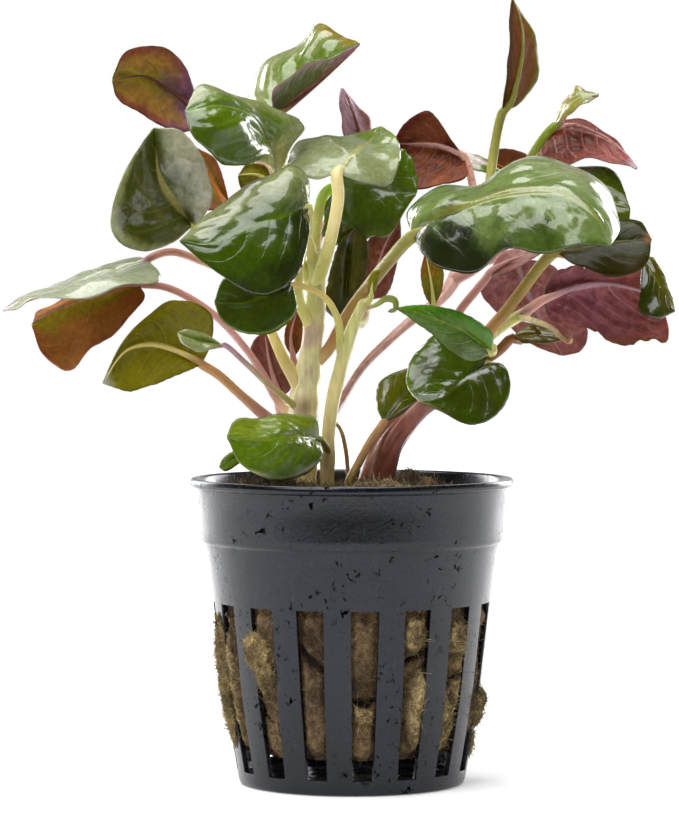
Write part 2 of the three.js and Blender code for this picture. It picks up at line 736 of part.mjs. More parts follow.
    stalk: [[0, 74.4, -2.2], [1.8, 75.4, 3], [2.4, 77.4, 9]],
    rib: [[2.6, 79, 13], [4, 84, 15], [5.6, 88.5, 16], [7.9, 92.4, 16]],
    sides: [
      [[0.8, 81.5], [1.5, 86.4], [4.4, 91]],
      [[5.6, 79.9], [7.1, 83.8], [8, 89.6]],
    ],
    lean: [0, 0],
    shows: "under",
    width: [1.3, 1.2],
  },
  leaf_38_green_strip: {
    paint: "leafOlive",
    from: "stem_pink",
    stalk: [[10.6, 76.5, 8.3], [12.4, 76, 4.5]],
    rib: [[13.3, 77.8, 3], [13, 81.5, 2], [12, 87, 2]],
    sides: [
      [[12, 79.6], [11.2, 83.5]],
      [[14.6, 80.4], [14.8, 84.6]],
    ],
    lean: [0, 0],
    shows: "under",
    width: [1.2, 1.1],
  },
  leaf_39_young_olive: {
    paint: "leafOlive",
    from: "stem_main",
    stalk: [[-5.95, 79, 0], [-9.2, 87, 0], [-12, 94, 2.8]],
    rib: [[-12.8, 97.6, 5], [-15.5, 99.4, 4], [-18.6, 99.4, 3]],
    sides: [
      [[-14, 100.8], [-17, 101.4]],
      [[-15, 96.6], [-18, 97]],
    ],
    lean: [1, -1],
    shows: "under",
    width: [1.5, 1.2],
  },
  leaf_40_edge_curl: {
    paint: "leafGreen",
    from: "stem_front",
    stalk: [[1.9, 78.5, -2.3], [2.8, 78.9, -4]],
    rib: [[3.2, 79.8, -5], [3.3, 81.6, -5.6], [4.7, 84, -6.4]],
    sides: [
      [[2.4, 81.2], [3.4, 83.8]],
      [[4, 81], [4.4, 82.8]],
    ],
    lean: [0, 0],
    shows: "under",
    width: [1, 0.9],
  },
};

// The pot's outline from the middle of its underside, up the outside, over the rim and back inside
function potProfile() {
  const rim = rimDiameter / 2;
  const outside = [
    [0, 0], [17.8, 0], [18.6, 0.9], [21.1, 15], [22.8, 30], [24.1, 39.3], [24.7, 40], [24.8, 41],
    [25.3, 48.2], [rim, potHeight - 1.3], [rim, potHeight - 0.3], [rim - 0.3, potHeight],
  ];
  const inside = [
    [rim - 1.6, potHeight], [rim - 2.1, potHeight - 0.8], [24.8 - wall, 41.2], [24.1 - wall, 39.4],
    [22.8 - wall, 30], [21.1 - wall, 15], [18.6 - wall, floorThickness], [0, floorThickness],
  ];
  return [...outside, ...inside].map(([radius, height]) => new THREE.Vector2(radius, height));
}

// A slot tool: a tapered prism that reaches through the wall, turned to its place
function slotTool(turn) {
  const [top, bottom] = [slotTopWidth / 2, slotBottomWidth / 2];
  const outline = new THREE.Shape([
    new THREE.Vector2(-bottom, slotBottom), new THREE.Vector2(bottom, slotBottom),
    new THREE.Vector2(top, slotTop), new THREE.Vector2(-top, slotTop),
  ]);
  const prism = new THREE.ExtrudeGeometry(outline, { depth: 14, bevelEnabled: false });
  prism.rotateX(Math.PI / 2).translate(0, -14, 0).rotateZ(turn);
  return solidOf(prism);
}

// A hole in the pot's floor, wider towards the wall
function floorTool(turn) {
  const outline = new THREE.Shape([
    new THREE.Vector2(-1.6, -8), new THREE.Vector2(-3.6, -15.4),
    new THREE.Vector2(3.6, -15.4), new THREE.Vector2(1.6, -8),
  ]);
  const prism = new THREE.ExtrudeGeometry(outline, { depth: 4, bevelEnabled: false });
  prism.translate(0, 0, -1).rotateZ(turn);
  return solidOf(prism);
}

function potSolid() {
  const phase = THREE.MathUtils.degToRad(slotPhase);
  const lathe = new THREE.LatheGeometry(potProfile(), slotCount * 2, phase, Math.PI * 2);
  lathe.rotateX(Math.PI / 2);
  let pot = solidOf(lathe);
  for (let i = 0; i < slotCount; i++) {
    pot = pot.subtract(slotTool(phase + (i / slotCount) * Math.PI * 2));
  }
  for (let i = 0; i < baseHoleCount; i++) {
    pot = pot.subtract(floorTool(phase + ((i + 0.5) / baseHoleCount) * Math.PI * 2));
  }
  return pot;
}

// The plug: it fills the pot inside the slots, its top uneven and lower at the right and the back
function woolSolid(rooted) {
  const sides = 20;
  const profile = [
    [15.6, 5.4], [17.6, 8], [19.2, 15], [20.4, 23], [21.3, 32], [22.7, 41], [22.8, 46.6], [13, 48.6],
  ];
  const rough = (a, h) => 0.45 * Math.sin(3 * a + h * 0.9) * Math.sin(5 * a - h * 0.6);
  const dip = (a) => 2.4 * Math.max(0, Math.sin(a + 0.6));
  const rings = profile.map(([radius, height], row) => Array.from({ length: sides }, (_, s) => {
    const a = (s / sides) * Math.PI * 2;
    const reach = radius - 0.5 + rough(a, height);
    const drop = row > 5 ? dip(a) - rough(a * 2, row) : 0;
    return new THREE.Vector3(Math.cos(a) * reach, Math.sin(a) * reach, height - drop);
  }));
  const wool = ringsSolid(new THREE.Vector3(0, 0, 5.8), rings, new THREE.Vector3(0, 0, 49.2));
  return wool.subtract(rooted);
}

// A curled shoot has its own, shorter step
function stemTube({ path, widths, step = stalkStep }, grown) {
  const sides = Math.max(...widths) > 2 ? 8 : 6;
  return tube(path.map(seen), widths, sides, step, grown);
}

const plant = new THREE.Group();
plant.name = "potted_cardinal_flower";
plant.add(meshOf("pot", potSolid(), "plastic"));

const bearers = {};
for (const [name, spec] of Object.entries(stems)) {
  const solid = stemTube(spec, 0);
  bearers[name] = stemTube(spec, gap);
  plant.add(meshOf(name, spec.from ? solid.subtract(bearers[spec.from]) : solid, spec.paint));
}

const rooted = ["stem_front", "stem_red", "stalk_thin"].reduce(
  (sum, name) => sum.add(bearers[name]), leafStalk(leaves.leaf_34_low_right, gap).add(bearers.stem_main));
plant.add(meshOf("rockwool", woolSolid(rooted), "wool"));

for (const [name, spec] of Object.entries(leaves)) {
  plant.add(meshOf(name, leafSolid(spec, bearers[spec.from]), spec.paint));
}

export default plant;
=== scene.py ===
# Looks for a young cardinal flower in a net pot. Sizes are given in millimetres and made metres.
import math

import bpy
import numpy as np
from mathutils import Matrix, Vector


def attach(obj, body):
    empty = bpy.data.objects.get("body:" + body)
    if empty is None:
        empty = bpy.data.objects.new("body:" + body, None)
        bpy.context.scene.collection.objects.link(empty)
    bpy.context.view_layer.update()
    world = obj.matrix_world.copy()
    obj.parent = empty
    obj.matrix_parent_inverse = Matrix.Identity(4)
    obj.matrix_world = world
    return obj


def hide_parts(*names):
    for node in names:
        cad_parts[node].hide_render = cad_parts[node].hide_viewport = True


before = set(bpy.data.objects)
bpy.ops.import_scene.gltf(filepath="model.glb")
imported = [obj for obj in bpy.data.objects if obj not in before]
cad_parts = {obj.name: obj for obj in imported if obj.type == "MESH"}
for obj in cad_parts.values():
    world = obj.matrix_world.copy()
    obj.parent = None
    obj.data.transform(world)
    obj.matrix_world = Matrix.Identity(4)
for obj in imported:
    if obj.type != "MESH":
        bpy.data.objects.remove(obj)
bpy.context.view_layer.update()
mm = 0.001

# The eye that the plant's points are read from, and how much deeper than read it spreads
eye = {"across": -2.04, "up": 86, "distance": 640, "fullness": 1.25}


# Curves and grids

def smooth(value, low, high):
    t = np.clip((value - low) / (high - low), 0, 1)
    return t * t * (3 - 2 * t)


def unit(vectors):
    return vectors / np.maximum(np.linalg.norm(vectors, axis=-1, keepdims=True), 1e-9)


# Points from a distance to the pot's axis, an angle round it and a height
def polar(radius, turn, height):
    radius, turn, height = np.broadcast_arrays(radius, turn, height)
    return np.stack([radius * np.cos(turn), radius * np.sin(turn), height], -1)


# A point read from in front, set back to its depth: it moves outwards along its line of sight
def seen(points):
    p = np.array(points, float)
    depth = p[:, 2] * eye["fullness"]
    grow = (eye["distance"] + depth) / eye["distance"]
    x = eye["across"] + (p[:, 0] - eye["across"]) * grow
    z = eye["up"] + (p[:, 1] - eye["up"]) * grow
    return np.stack([x, depth, z], 1)


curveSteps = 60  # points from one given point of a curve to the next


# A centripetal Catmull-Rom curve: cubic pieces whose end slopes follow the roots of the spans
def curveThrough(points):
    p = np.array(points, float)
    p = np.vstack([2 * p[0] - p[1], p, 2 * p[-1] - p[-2]])
    span = np.linalg.norm(np.diff(p, axis=0), axis=1) ** 0.5 + 1e-9
    before, own, after = (span[i:len(span) - 2 + i, None] for i in range(3))
    a, b, c, d = (p[i:len(p) - 3 + i] for i in range(4))
    start = own * ((b - a) / before - (c - a) / (before + own) + (c - b) / own)
    stop = own * ((c - b) / own - (d - b) / (own + after) + (d - c) / after)
    t = np.linspace(0, 1, curveSteps, endpoint=False)[None, :, None]
    b, c, start, stop = (v[:, None] for v in (b, c, start, stop))
    curve = b + start * t + (3 * c - 3 * b - 2 * start - stop) * t ** 2
    curve = curve + (2 * b - 2 * c + start + stop) * t ** 3
    curve = np.vstack([curve.reshape(-1, 3), p[-2]])
    reach = np.concatenate([[0], np.cumsum(np.linalg.norm(np.diff(curve, axis=0), axis=1))])
    return {"points": curve, "reach": reach}


def along(curve, t):
    at = np.asarray(t) * curve["reach"][-1]
    return np.stack([np.interp(at, curve["reach"], curve["points"][:, i]) for i in range(3)], -1)


def slope(curve, t):
    t = np.asarray(t)
    return unit(along(curve, np.minimum(t + 0.01, 1)) - along(curve, np.maximum(t - 0.01, 0)))


# Smooth random heights: a table of random numbers, blended between its eight nearest entries
noiseTable = np.random.default_rng(11).random((24, 24, 24))


def noise(points, scale):
    p = np.asarray(points) * scale + 7.3
    low = np.floor(p).astype(int)
    f = p - low
    f = f * f * (3 - 2 * f)
    total = 0
    for corner in np.ndindex(2, 2, 2):
        weight = np.prod([f[..., i] if corner[i] else 1 - f[..., i] for i in range(3)], axis=0)
        i, j, k = ((low[..., n] + corner[n]) % len(noiseTable) for n in range(3))
        total = total + weight * noiseTable[i, j, k]
    return total * 2 - 1


def roughness(points, scale):
    return sum(noise(points, scale * 2.1 ** n) * 0.5 ** n for n in range(3))


# Six times the volume inside: positive when the faces point outwards
def volumeOf(points, faces):
    a, b, c, d = (points[faces[:, i]] for i in range(4))
    first = np.einsum("ij,ij->i", a, np.cross(b, c)).sum()
    return first + np.einsum("ij,ij->i", a, np.cross(c, d)).sum()


# A mesh from points in millimetres and faces of three or four corners, turned to face outwards
def makePiece(name, points, faces, values=None, smoothed=True):
    faces = np.asarray(faces)
    if volumeOf(points, faces) < 0:
        faces = faces[:, ::-1]
    triangular = (faces[:, 0] == faces[:, 1]) | (faces[:, 2] == faces[:, 3])
    triangular |= (faces[:, 1] == faces[:, 2]) | (faces[:, 3] == faces[:, 0])
    corners = [list(dict.fromkeys(f)) if t else f for f, t in zip(faces.tolist(), triangular)]
    mesh = bpy.data.meshes.new(name)
    mesh.from_pydata((points * mm).tolist(), [], corners)
    for key, value in (values or {}).items():
        size, kind = (3, "FLOAT_VECTOR") if np.ndim(value) == 2 else (1, "FLOAT")
        layer = mesh.attributes.new(key, kind, "POINT")
        layer.data.foreach_set("vector" if size == 3 else "value", np.ravel(value).astype(np.float32))
    mesh.update()
    if smoothed:
        mesh.shade_smooth()
    piece = bpy.data.objects.new(name, mesh)
    bpy.context.scene.collection.objects.link(piece)
    return piece


# Faces of a grid of rings: each ring is joined to the next, and a point closes either end
def ringFaces(rows, columns):
    index = np.arange(rows * columns).reshape(rows, columns)
    turned = np.roll(index, -1, axis=1)
    sides = np.stack([index[:-1], turned[:-1], turned[1:], index[1:]], -1).reshape(-1, 4)
    first, last = rows * columns, rows * columns + 1
    low = np.stack([np.full(columns, first), turned[0], index[0], index[0]], -1)
    high = np.stack([np.full(columns, last), index[-1], turned[-1], turned[-1]], -1)
    return np.vstack([sides, low, high])


# Several closed surfaces as one piece: points, faces and values laid end to end
def joined(surfaces):
    count = np.cumsum([0] + [len(s["points"]) for s in surfaces])
    points = np.vstack([s["points"] for s in surfaces])
    faces = np.vstack([s["faces"] + n for s, n in zip(surfaces, count)])
    values = {k: np.concatenate([s["values"][k] for s in surfaces]) for k in surfaces[0]["values"]}
    return points, faces, values


# Rings along a path: each stands square to the path, on a side direction that keeps clear of it
def ringsAlong(path, t, radius, turn):
    centre, heading = along(path, t), slope(path, t)
    aside = np.eye(3)[np.argmin(np.abs(heading).max(axis=0))]
    normal = unit(np.cross(heading, aside))[:, None]
    other = np.cross(heading, normal[:, 0])[:, None]
    ring = np.cos(turn)[None, :, None] * normal + np.sin(turn)[None, :, None] * other
    return centre[:, None] + ring * radius[..., None]


# A round form carried along a path, its radius given at even steps and closed by a point at each
# end. Over the last radius of the way it shrinks as a ball does; shape makes it less than round.
def roundForm(path, radii, sides, step, shape):
    length = path["reach"][-1]
    count = int(np.clip(length / step, 10, 160))
    t = np.linspace(0.002, 0.998, count)
    radius = np.interp(t, np.linspace(0, 1, len(radii)), radii)
    toEnd = np.minimum(t, 1 - t) * length
    ends = np.sqrt(np.clip(1 - (1 - toEnd / radius) ** 2, 0.02, 1))
    ends = np.where(toEnd < radius, ends, 1)
    share = np.arange(sides) / sides
    turn = share * 2 * np.pi
    rings = ringsAlong(path, t, (radius * ends)[:, None] * shape(t[:, None], turn[None]), turn)
    points = np.vstack([rings.reshape(-1, 3), along(path, 0), along(path, 1)])
    grid = np.broadcast_arrays(t[:, None], share[None], np.zeros((1, 1)))
    place = np.vstack([np.stack(grid, -1).reshape(-1, 3), [[0, 0, 0], [1, 0, 0]]])
    return points, ringFaces(count, sides), place


# The solids' node names, as one word each
def pieceName(node):
    words = node.split("_")
    return words[0] + "".join(w.capitalize() for w in words[1:])


# Materials

shades = {
    "fresh": "#7c9018", "green": "#5a7608", "deep": "#455c04", "dark": "#333f04", "sage": "#8d9660",
    "silver": "#b4b6a0", "lime": "#cbcb7a", "cream": "#eadfa8", "olive": "#746a06", "moss": "#564f06",
    "leafStalk": "#918f42", "mauvePink": "#935a5c", "straw": "#d4c478", "tan": "#b88e5c",
    "orange": "#bc7228", "bronze": "#86561c", "brown": "#54300c", "redBrown": "#7c4324",
    "wine": "#6b3123", "plum": "#6f3c38", "mauve": "#8f5c54", "lilac": "#b28e9c", "rose": "#c09490",
    "pink": "#d4aa9e", "white": "#e0e0da",
}


# A named or hexadecimal colour as linear red, green, blue and alpha
def tone(name):
    text = shades.get(name, name).lstrip("#")
    parts = [int(text[i:i + 2], 16) / 255 for i in (0, 2, 4)]
    return [p / 12.92 if p < 0.04 else ((p + 0.055) / 1.055) ** 2.4 for p in parts] + [1]


# Adds a shader node: sockets takes values or the sockets that are linked in
def put(tree, kind, sockets=None, **settings):
    made = tree.nodes.new(kind)
    for name, value in settings.items():
        setattr(made, name, value)
    for key, value in (sockets or {}).items():
        if isinstance(value, bpy.types.NodeSocket):
            tree.links.new(value, made.inputs[key])
        else:
            made.inputs[key].default_value = value
    return made


def blend(tree, factor, a, b):
    return put(tree, "ShaderNodeMix", {0: factor, 6: a, 7: b}, data_type="RGBA").outputs[2]


def blendNumber(tree, factor, a, b):
    return put(tree, "ShaderNodeMix", {0: factor, 2: a, 3: b}).outputs[0]


def tinted(tree, colour, tint):
    sockets = {0: 1.0, 6: colour, 7: tint}
    return put(tree, "ShaderNodeMix", sockets, data_type="RGBA", blend_type="MULTIPLY").outputs[2]


# A colour made lighter or darker by a number that changes over the surface
def shaded(tree, colour, shade):
    grey = put(tree, "ShaderNodeCombineXYZ", {0: shade, 1: shade, 2: shade}).outputs[0]
    return tinted(tree, colour, grey)


def maths(tree, operation, a, b=0.0):
    return put(tree, "ShaderNodeMath", {0: a, 1: b}, operation=operation).outputs[0]


def plus(tree, a, b):
    return maths(tree, "ADD", a, b)


def times(tree, a, b):
    return maths(tree, "MULTIPLY", a, b)


# A noise made to swing about nought
def swing(tree, value, amount):
    return times(tree, maths(tree, "SUBTRACT", value, 0.5), amount)


# Nought below low, one above high, and a smooth rise between
def rise(tree, value, low, high, start=0.0, stop=1.0):
    sockets = {"Value": value, "From Min": low, "From Max": high, "To Min": start, "To Max": stop}
    made = put(tree, "ShaderNodeMapRange", sockets, interpolation_type="SMOOTHSTEP")
    return made.outputs["Result"]


def speckle(tree, place, scale, detail=3.0, rough=0.55, distortion=0.0):
    sockets = {"Vector": place, "Scale": scale, "Detail": detail, "Roughness": rough,
               "Distortion": distortion}
    return put(tree, "ShaderNodeTexNoise", sockets).outputs["Fac"]


def newMaterial(name):
    material = bpy.data.materials.new(name)
    material.use_nodes = True
    tree = material.node_tree
    tree.nodes.clear()
    place = put(tree, "ShaderNodeTexCoord").outputs["Object"]
    shader = put(tree, "ShaderNodeBsdfPrincipled")
    put(tree, "ShaderNodeOutputMaterial", {"Surface": shader.outputs[0]})
    return material, tree, place, shader


def roughen(tree, shader, height, strength, depth):
    bump = put(tree, "ShaderNodeBump", {"Height": height, "Strength": strength, "Distance": depth * mm})
    tree.links.new(bump.outputs[0], shader.inputs["Normal"])


# Lets some of the light through to the other side, in a colour of its own
def letThrough(tree, shader, colour, amount):
    glow = put(tree, "ShaderNodeBsdfTranslucent", {"Color": colour})
    mixed = put(tree, "ShaderNodeMixShader", {0: amount, 1: shader.outputs[0], 2: glow.outputs[0]})
    tree.links.new(mixed.outputs[0], tree.nodes["Material Output"].inputs["Surface"])


def newGroup(name, inputs, outputs):
    group = bpy.data.node_groups.new(name, "ShaderNodeTree")
    for label, kind in inputs:
        group.interface.new_socket(label, in_out="INPUT", socket_type="NodeSocket" + kind)
    for label, kind in outputs:
        group.interface.new_socket(label, in_out="OUTPUT", socket_type="NodeSocket" + kind)
    return group, put(group, "NodeGroupInput").outputs


# Links what a group has worked out to its named outputs
def giveOut(group, found):
    put(group, "NodeGroupOutput", found)
    return group


def useGroup(tree, group, sockets):
    return put(tree, "ShaderNodeGroup", sockets, node_tree=group).outputs


# Masks over a leaf from its own place: x along it, y across from -1 to 1, z the upper face
def makeVeinGroup():
    group, given = newGroup(
        "leafVeins", [("Place", "Vector"), ("Object", "Vector"), ("Pairs", "Float"), ("Curve", "Float"),
                      ("Wide", "Float")],
        [("Spread", "Vector"), ("Upper", "Float"), ("Rib", "Float"), ("Veins", "Float"), ("Net", "Float"),
         ("Quilt", "Float")])
    parts = put(group, "ShaderNodeSeparateXYZ", {0: given["Place"]}).outputs
    away = maths(group, "ABSOLUTE", parts["Y"])
    spread = put(group, "ShaderNodeCombineXYZ", {0: parts["X"], 1: parts["Y"], 2: away}).outputs[0]

    # side veins: lines of equal (along - curve * away ** 1.3) * pairs, half a step apart on each side
    bent = times(group, maths(group, "POWER", away, 1.3), given["Curve"])
    line = times(group, maths(group, "SUBTRACT", parts["X"], bent), given["Pairs"])
    line = plus(group, line, times(group, speckle(group, given["Object"], 230.0), 0.4))
    halfStep = times(group, maths(group, "GREATER_THAN", parts["Y"], 0.0), 0.5)
    line = maths(group, "FRACT", plus(group, plus(group, line, halfStep), 8.0))
    near = maths(group, "ABSOLUTE", maths(group, "SUBTRACT", line, 0.5))
    veins = times(group, rise(group, near, 0.405, 0.5), rise(group, away, 1.0, 0.55))

    # the midrib narrows to the tip
    width = times(group, rise(group, parts["X"], 0.0, 1.0, 0.075, 0.02), given["Wide"])
    rib = rise(group, maths(group, "DIVIDE", away, width), 1.5, 0.5)

    # the net: fine veins between small cells. The quilt: skin that swells between the fine veins, in
    # larger cells whose edges wander
    stray = put(group, "ShaderNodeTexNoise", {"Vector": given["Object"], "Scale": 400.0}).outputs["Color"]
    moved = put(group, "ShaderNodeMix", {0: 0.0016, 4: given["Object"], 5: stray}, data_type="VECTOR")
    toEdge = [put(group, "ShaderNodeTexVoronoi", {"Vector": place, "Scale": scale},
                  feature="DISTANCE_TO_EDGE").outputs["Distance"]
              for place, scale in ((given["Object"], 620.0), (moved.outputs[1], 340.0))]
    return giveOut(group, {
        "Spread": spread, "Upper": rise(group, parts["Z"], 0.45, 0.55), "Rib": rib, "Veins": veins,
        "Net": rise(group, toEdge[0], 0.14, 0.0), "Quilt": rise(group, toEdge[1], 0.0, 0.24)})


veinGroup = makeVeinGroup()

# Where a second colour lies on a leaf: weights of along, across and away from the rib, and an offset
regions = {
    "tip": ((1.0, 0, 0), -0.1), "base": ((-1.0, 0, 0), 0.85), "foot": ((-1.6, 0, 0), 0.8),
    "left": ((0, -0.6, 0), 0.25), "right": ((0, 0.6, 0), 0.25), "edge": ((0, 0, 1.0), -0.2),
    "rim": ((0, 0, 2.4), -1.75), "middle": ((0, 0, -1.2), 0.85), "patches": ((0, 0, 0), 0.5),
    "leftRim": ((0, -2.2, 0), -1.4), "rightRim": ((0, 2.2, 0), -1.4), "end": ((2.4, 0, 0), -1.7),
    "upperLeft": ((0.7, -0.5, 0), -0.15), "lowerRight": ((-0.7, 0.5, 0), 0.6),
    "tipLeft": ((2.0, -1.0, 0), -1.6), "heel": ((-3.0, 0, -1.0), 1.1),
}


# A leaf face's colour: its first shade, then each further shade laid over its region
def layered(tree, spread, mottle, layers):
    colour = tone(layers[0])
    for shade, region in layers[1:]:
        weights, offset = regions[region]
        reach = put(tree, "ShaderNodeVectorMath", {0: spread, 1: weights}, operation="DOT_PRODUCT")
        amount = plus(tree, plus(tree, reach.outputs["Value"], offset), mottle)
        colour = blend(tree, rise(tree, amount, 0.3, 0.75), colour, tone(shade))
    return colour


# Stems: points as across, up and back in millimetres, and widths from the lowest point on. The
# shades are the foot's, the middle's and the top's; blush is a shade in patches and its amount.
# A mark is a spot of another shade, by its place across and up, its reach and its shade. Ridges
# deepens the ridges, and slim is a share of the width.
stems = {
    "stem_main": {
        "path": [(-7.6, 41, 0), (-8, 50, 0), (-7.9, 60, 0), (-6.8, 70, 0), (-6, 79, 0), (-6.2, 88, 0.5)],
        "widths": [4.4, 4.4, 4.3, 3.5, 2.7, 2.1], "slot": "stem_green",
        "shades": ("#e2d490", "#f0e8b4", "#d2d484"), "blush": ("rose", 0.5),
        "marks": [(-7.8, 61.6, 2.6, "redBrown"), (-7.2, 73.6, 3.0, "rose"), (-6, 54, 3.2, "bronze")],
    },
    "stem_front": {
        "path": [
            (-3.6, 41, -3), (-4, 50, -3.2), (-3.5, 60, -3.2), (-1.6, 69, -2.5), (0.2, 75, -2.2),
            (2.3, 79.3, -2.4)
        ],
        "widths": [3, 2.4, 2.1, 2.3, 2, 1.5], "slot": "stem_green",
        "shades": ("bronze", "#e0d490", "#d4d88c"), "blush": ("tan", 0.5),
    },
    "stem_red": {
        "path": [(3, 41, 2), (4.2, 50, 2), (6.4, 56, 2), (10.5, 60.8, 2.5), (16, 66, 3), (22.3, 73, 4)],
        "widths": [5.6, 5.6, 4.6, 3.2, 2.5, 2.1], "slot": "stem_pink",
        "shades": ("brown", "#965644", "rose"), "blush": ("wine", 0.85), "ridges": 2.6,
        "marks": [(2.5, 55, 3.0, "bronze"), (9, 62, 2.6, "pink")],
    },
    "stem_pink": {
        "path": [
            (-3.1, 60.5, -2.5), (-1.2, 63.6, 0.5), (2, 68.5, 3.5), (10, 76, 8), (15, 79.8, 11),
            (19.3, 88, 14)
        ],
        "widths": [1.4, 1.3, 1.4, 1.6, 1.9, 1.6], "slot": "stem_pink",
        "shades": ("rose", "pink", "pink"), "blush": ("mauve", 0.4),
    },
    "stem_right_branch": {
        "path": [(22, 72.7, 4), (24.3, 74.6, 5.4), (27, 76.3, 6.8), (29.2, 77.6, 7.6)],
        "widths": [1.9, 2, 1.9, 1.6], "slot": "stem_green",
        "shades": ("lime", "lime", "lime"), "blush": ("rose", 0.3),
    },
    "stalk_thin": {
        "path": [(-0.2, 43, 0), (-0.6, 50, 0), (-1.1, 55, -0.6), (-1.9, 58, -1.4), (-3.4, 59.6, -2.9)],
        "widths": [0.8, 0.7, 0.7, 0.6], "slot": "stem_pink",
        "shades": ("tan", "tan", "straw"), "blush": ("redBrown", 0.4),
    },
    "bud_centre": {
        "path": [
            (1.4, 77.4, -2.3), (4, 78.3, -2.2), (5.6, 79.3, -2.6), (7, 79, -3), (7.1, 77.6, -3.2),
            (5.9, 77.2, -3.2)
        ],
        "widths": [0.9, 0.8, 1.1, 1.5, 1.2, 0.7], "slim": 0.8, "slot": "stem_green",
        "shades": ("lime", "#9aa348", "green"), "blush": ("lime", 0.3),
    },
    "bud_right": {
        "path": [
            (27, 76.3, 6.8), (30, 75.6, 2), (33, 74.3, -2.6), (34.6, 72.7, -4.2), (35.6, 72.2, -4.8),
            (35.9, 73.1, -5.2)
        ],
        "widths": [1.3, 1.5, 1.5, 1.2, 1.1, 0.8], "slim": 0.7, "slot": "stem_green",
        "shades": ("lime", "cream", "tan"), "blush": ("bronze", 0.4),
    },
}

# How every stem is made: ridge and fineRidge are shares of the radius, and bend is an unevenness.
# It swells by a share within swellReach millimetres of a stalk's foot. Patches, streaks and blushes
# are the scales of noises, the last two drawn out along the stem.
stemMake = {
    "sides": 28, "step": 0.45, "swell": 0.13, "swellReach": 1.5, "ridge": 0.045, "fineRidge": 0.02,
    "bend": 0.02, "through": 0.16, "coat": 0.2, "coatRough": 0.12, "relief": 0.15,
    "patches": 190.0, "streaks": 1500.0, "blushes": 420.0, "drawnOut": 0.16,
    "streakShade": (0.92, 1.2), "rough": (0.28, 0.5),
}

# What a leaf is like unless its own entry says otherwise. Camber, swell, wave, teeth, ragged and
# ripple shape its sheet, as the notes on the sheet say; wrinkle deepens the folds of its underside and
# their painted shade.
leafPlain = {
    "slot": "leaf_green", "shows": "top", "top": ["moss", ("deep", "edge")],
    "under": ["moss", ("plum", "edge")], "veins": ("lime", "rose"), "width": (1.7, 1.3),
    "camber": 0.1, "groove": 0.14, "wave": 0.05, "teeth": 0.16, "toothCount": 13, "ragged": 0.01,
    "ripple": 0.6, "wrinkle": 0.2, "topVeins": 0.07, "underVeins": 0.2, "ribWide": 1.0,
    "gloss": 0.16, "coat": 0.66,
}

# What depends on the face a leaf shows. It has one shine for both faces: a dull underside's or a
# glossy upper face's.
leafFaces = {
    "top": {"swell": 0.016, "shine": 0.42},
    "sky": {"swell": 0.02, "shine": 0.42},
    "under": {"swell": 0.045, "shine": 0.18},
}
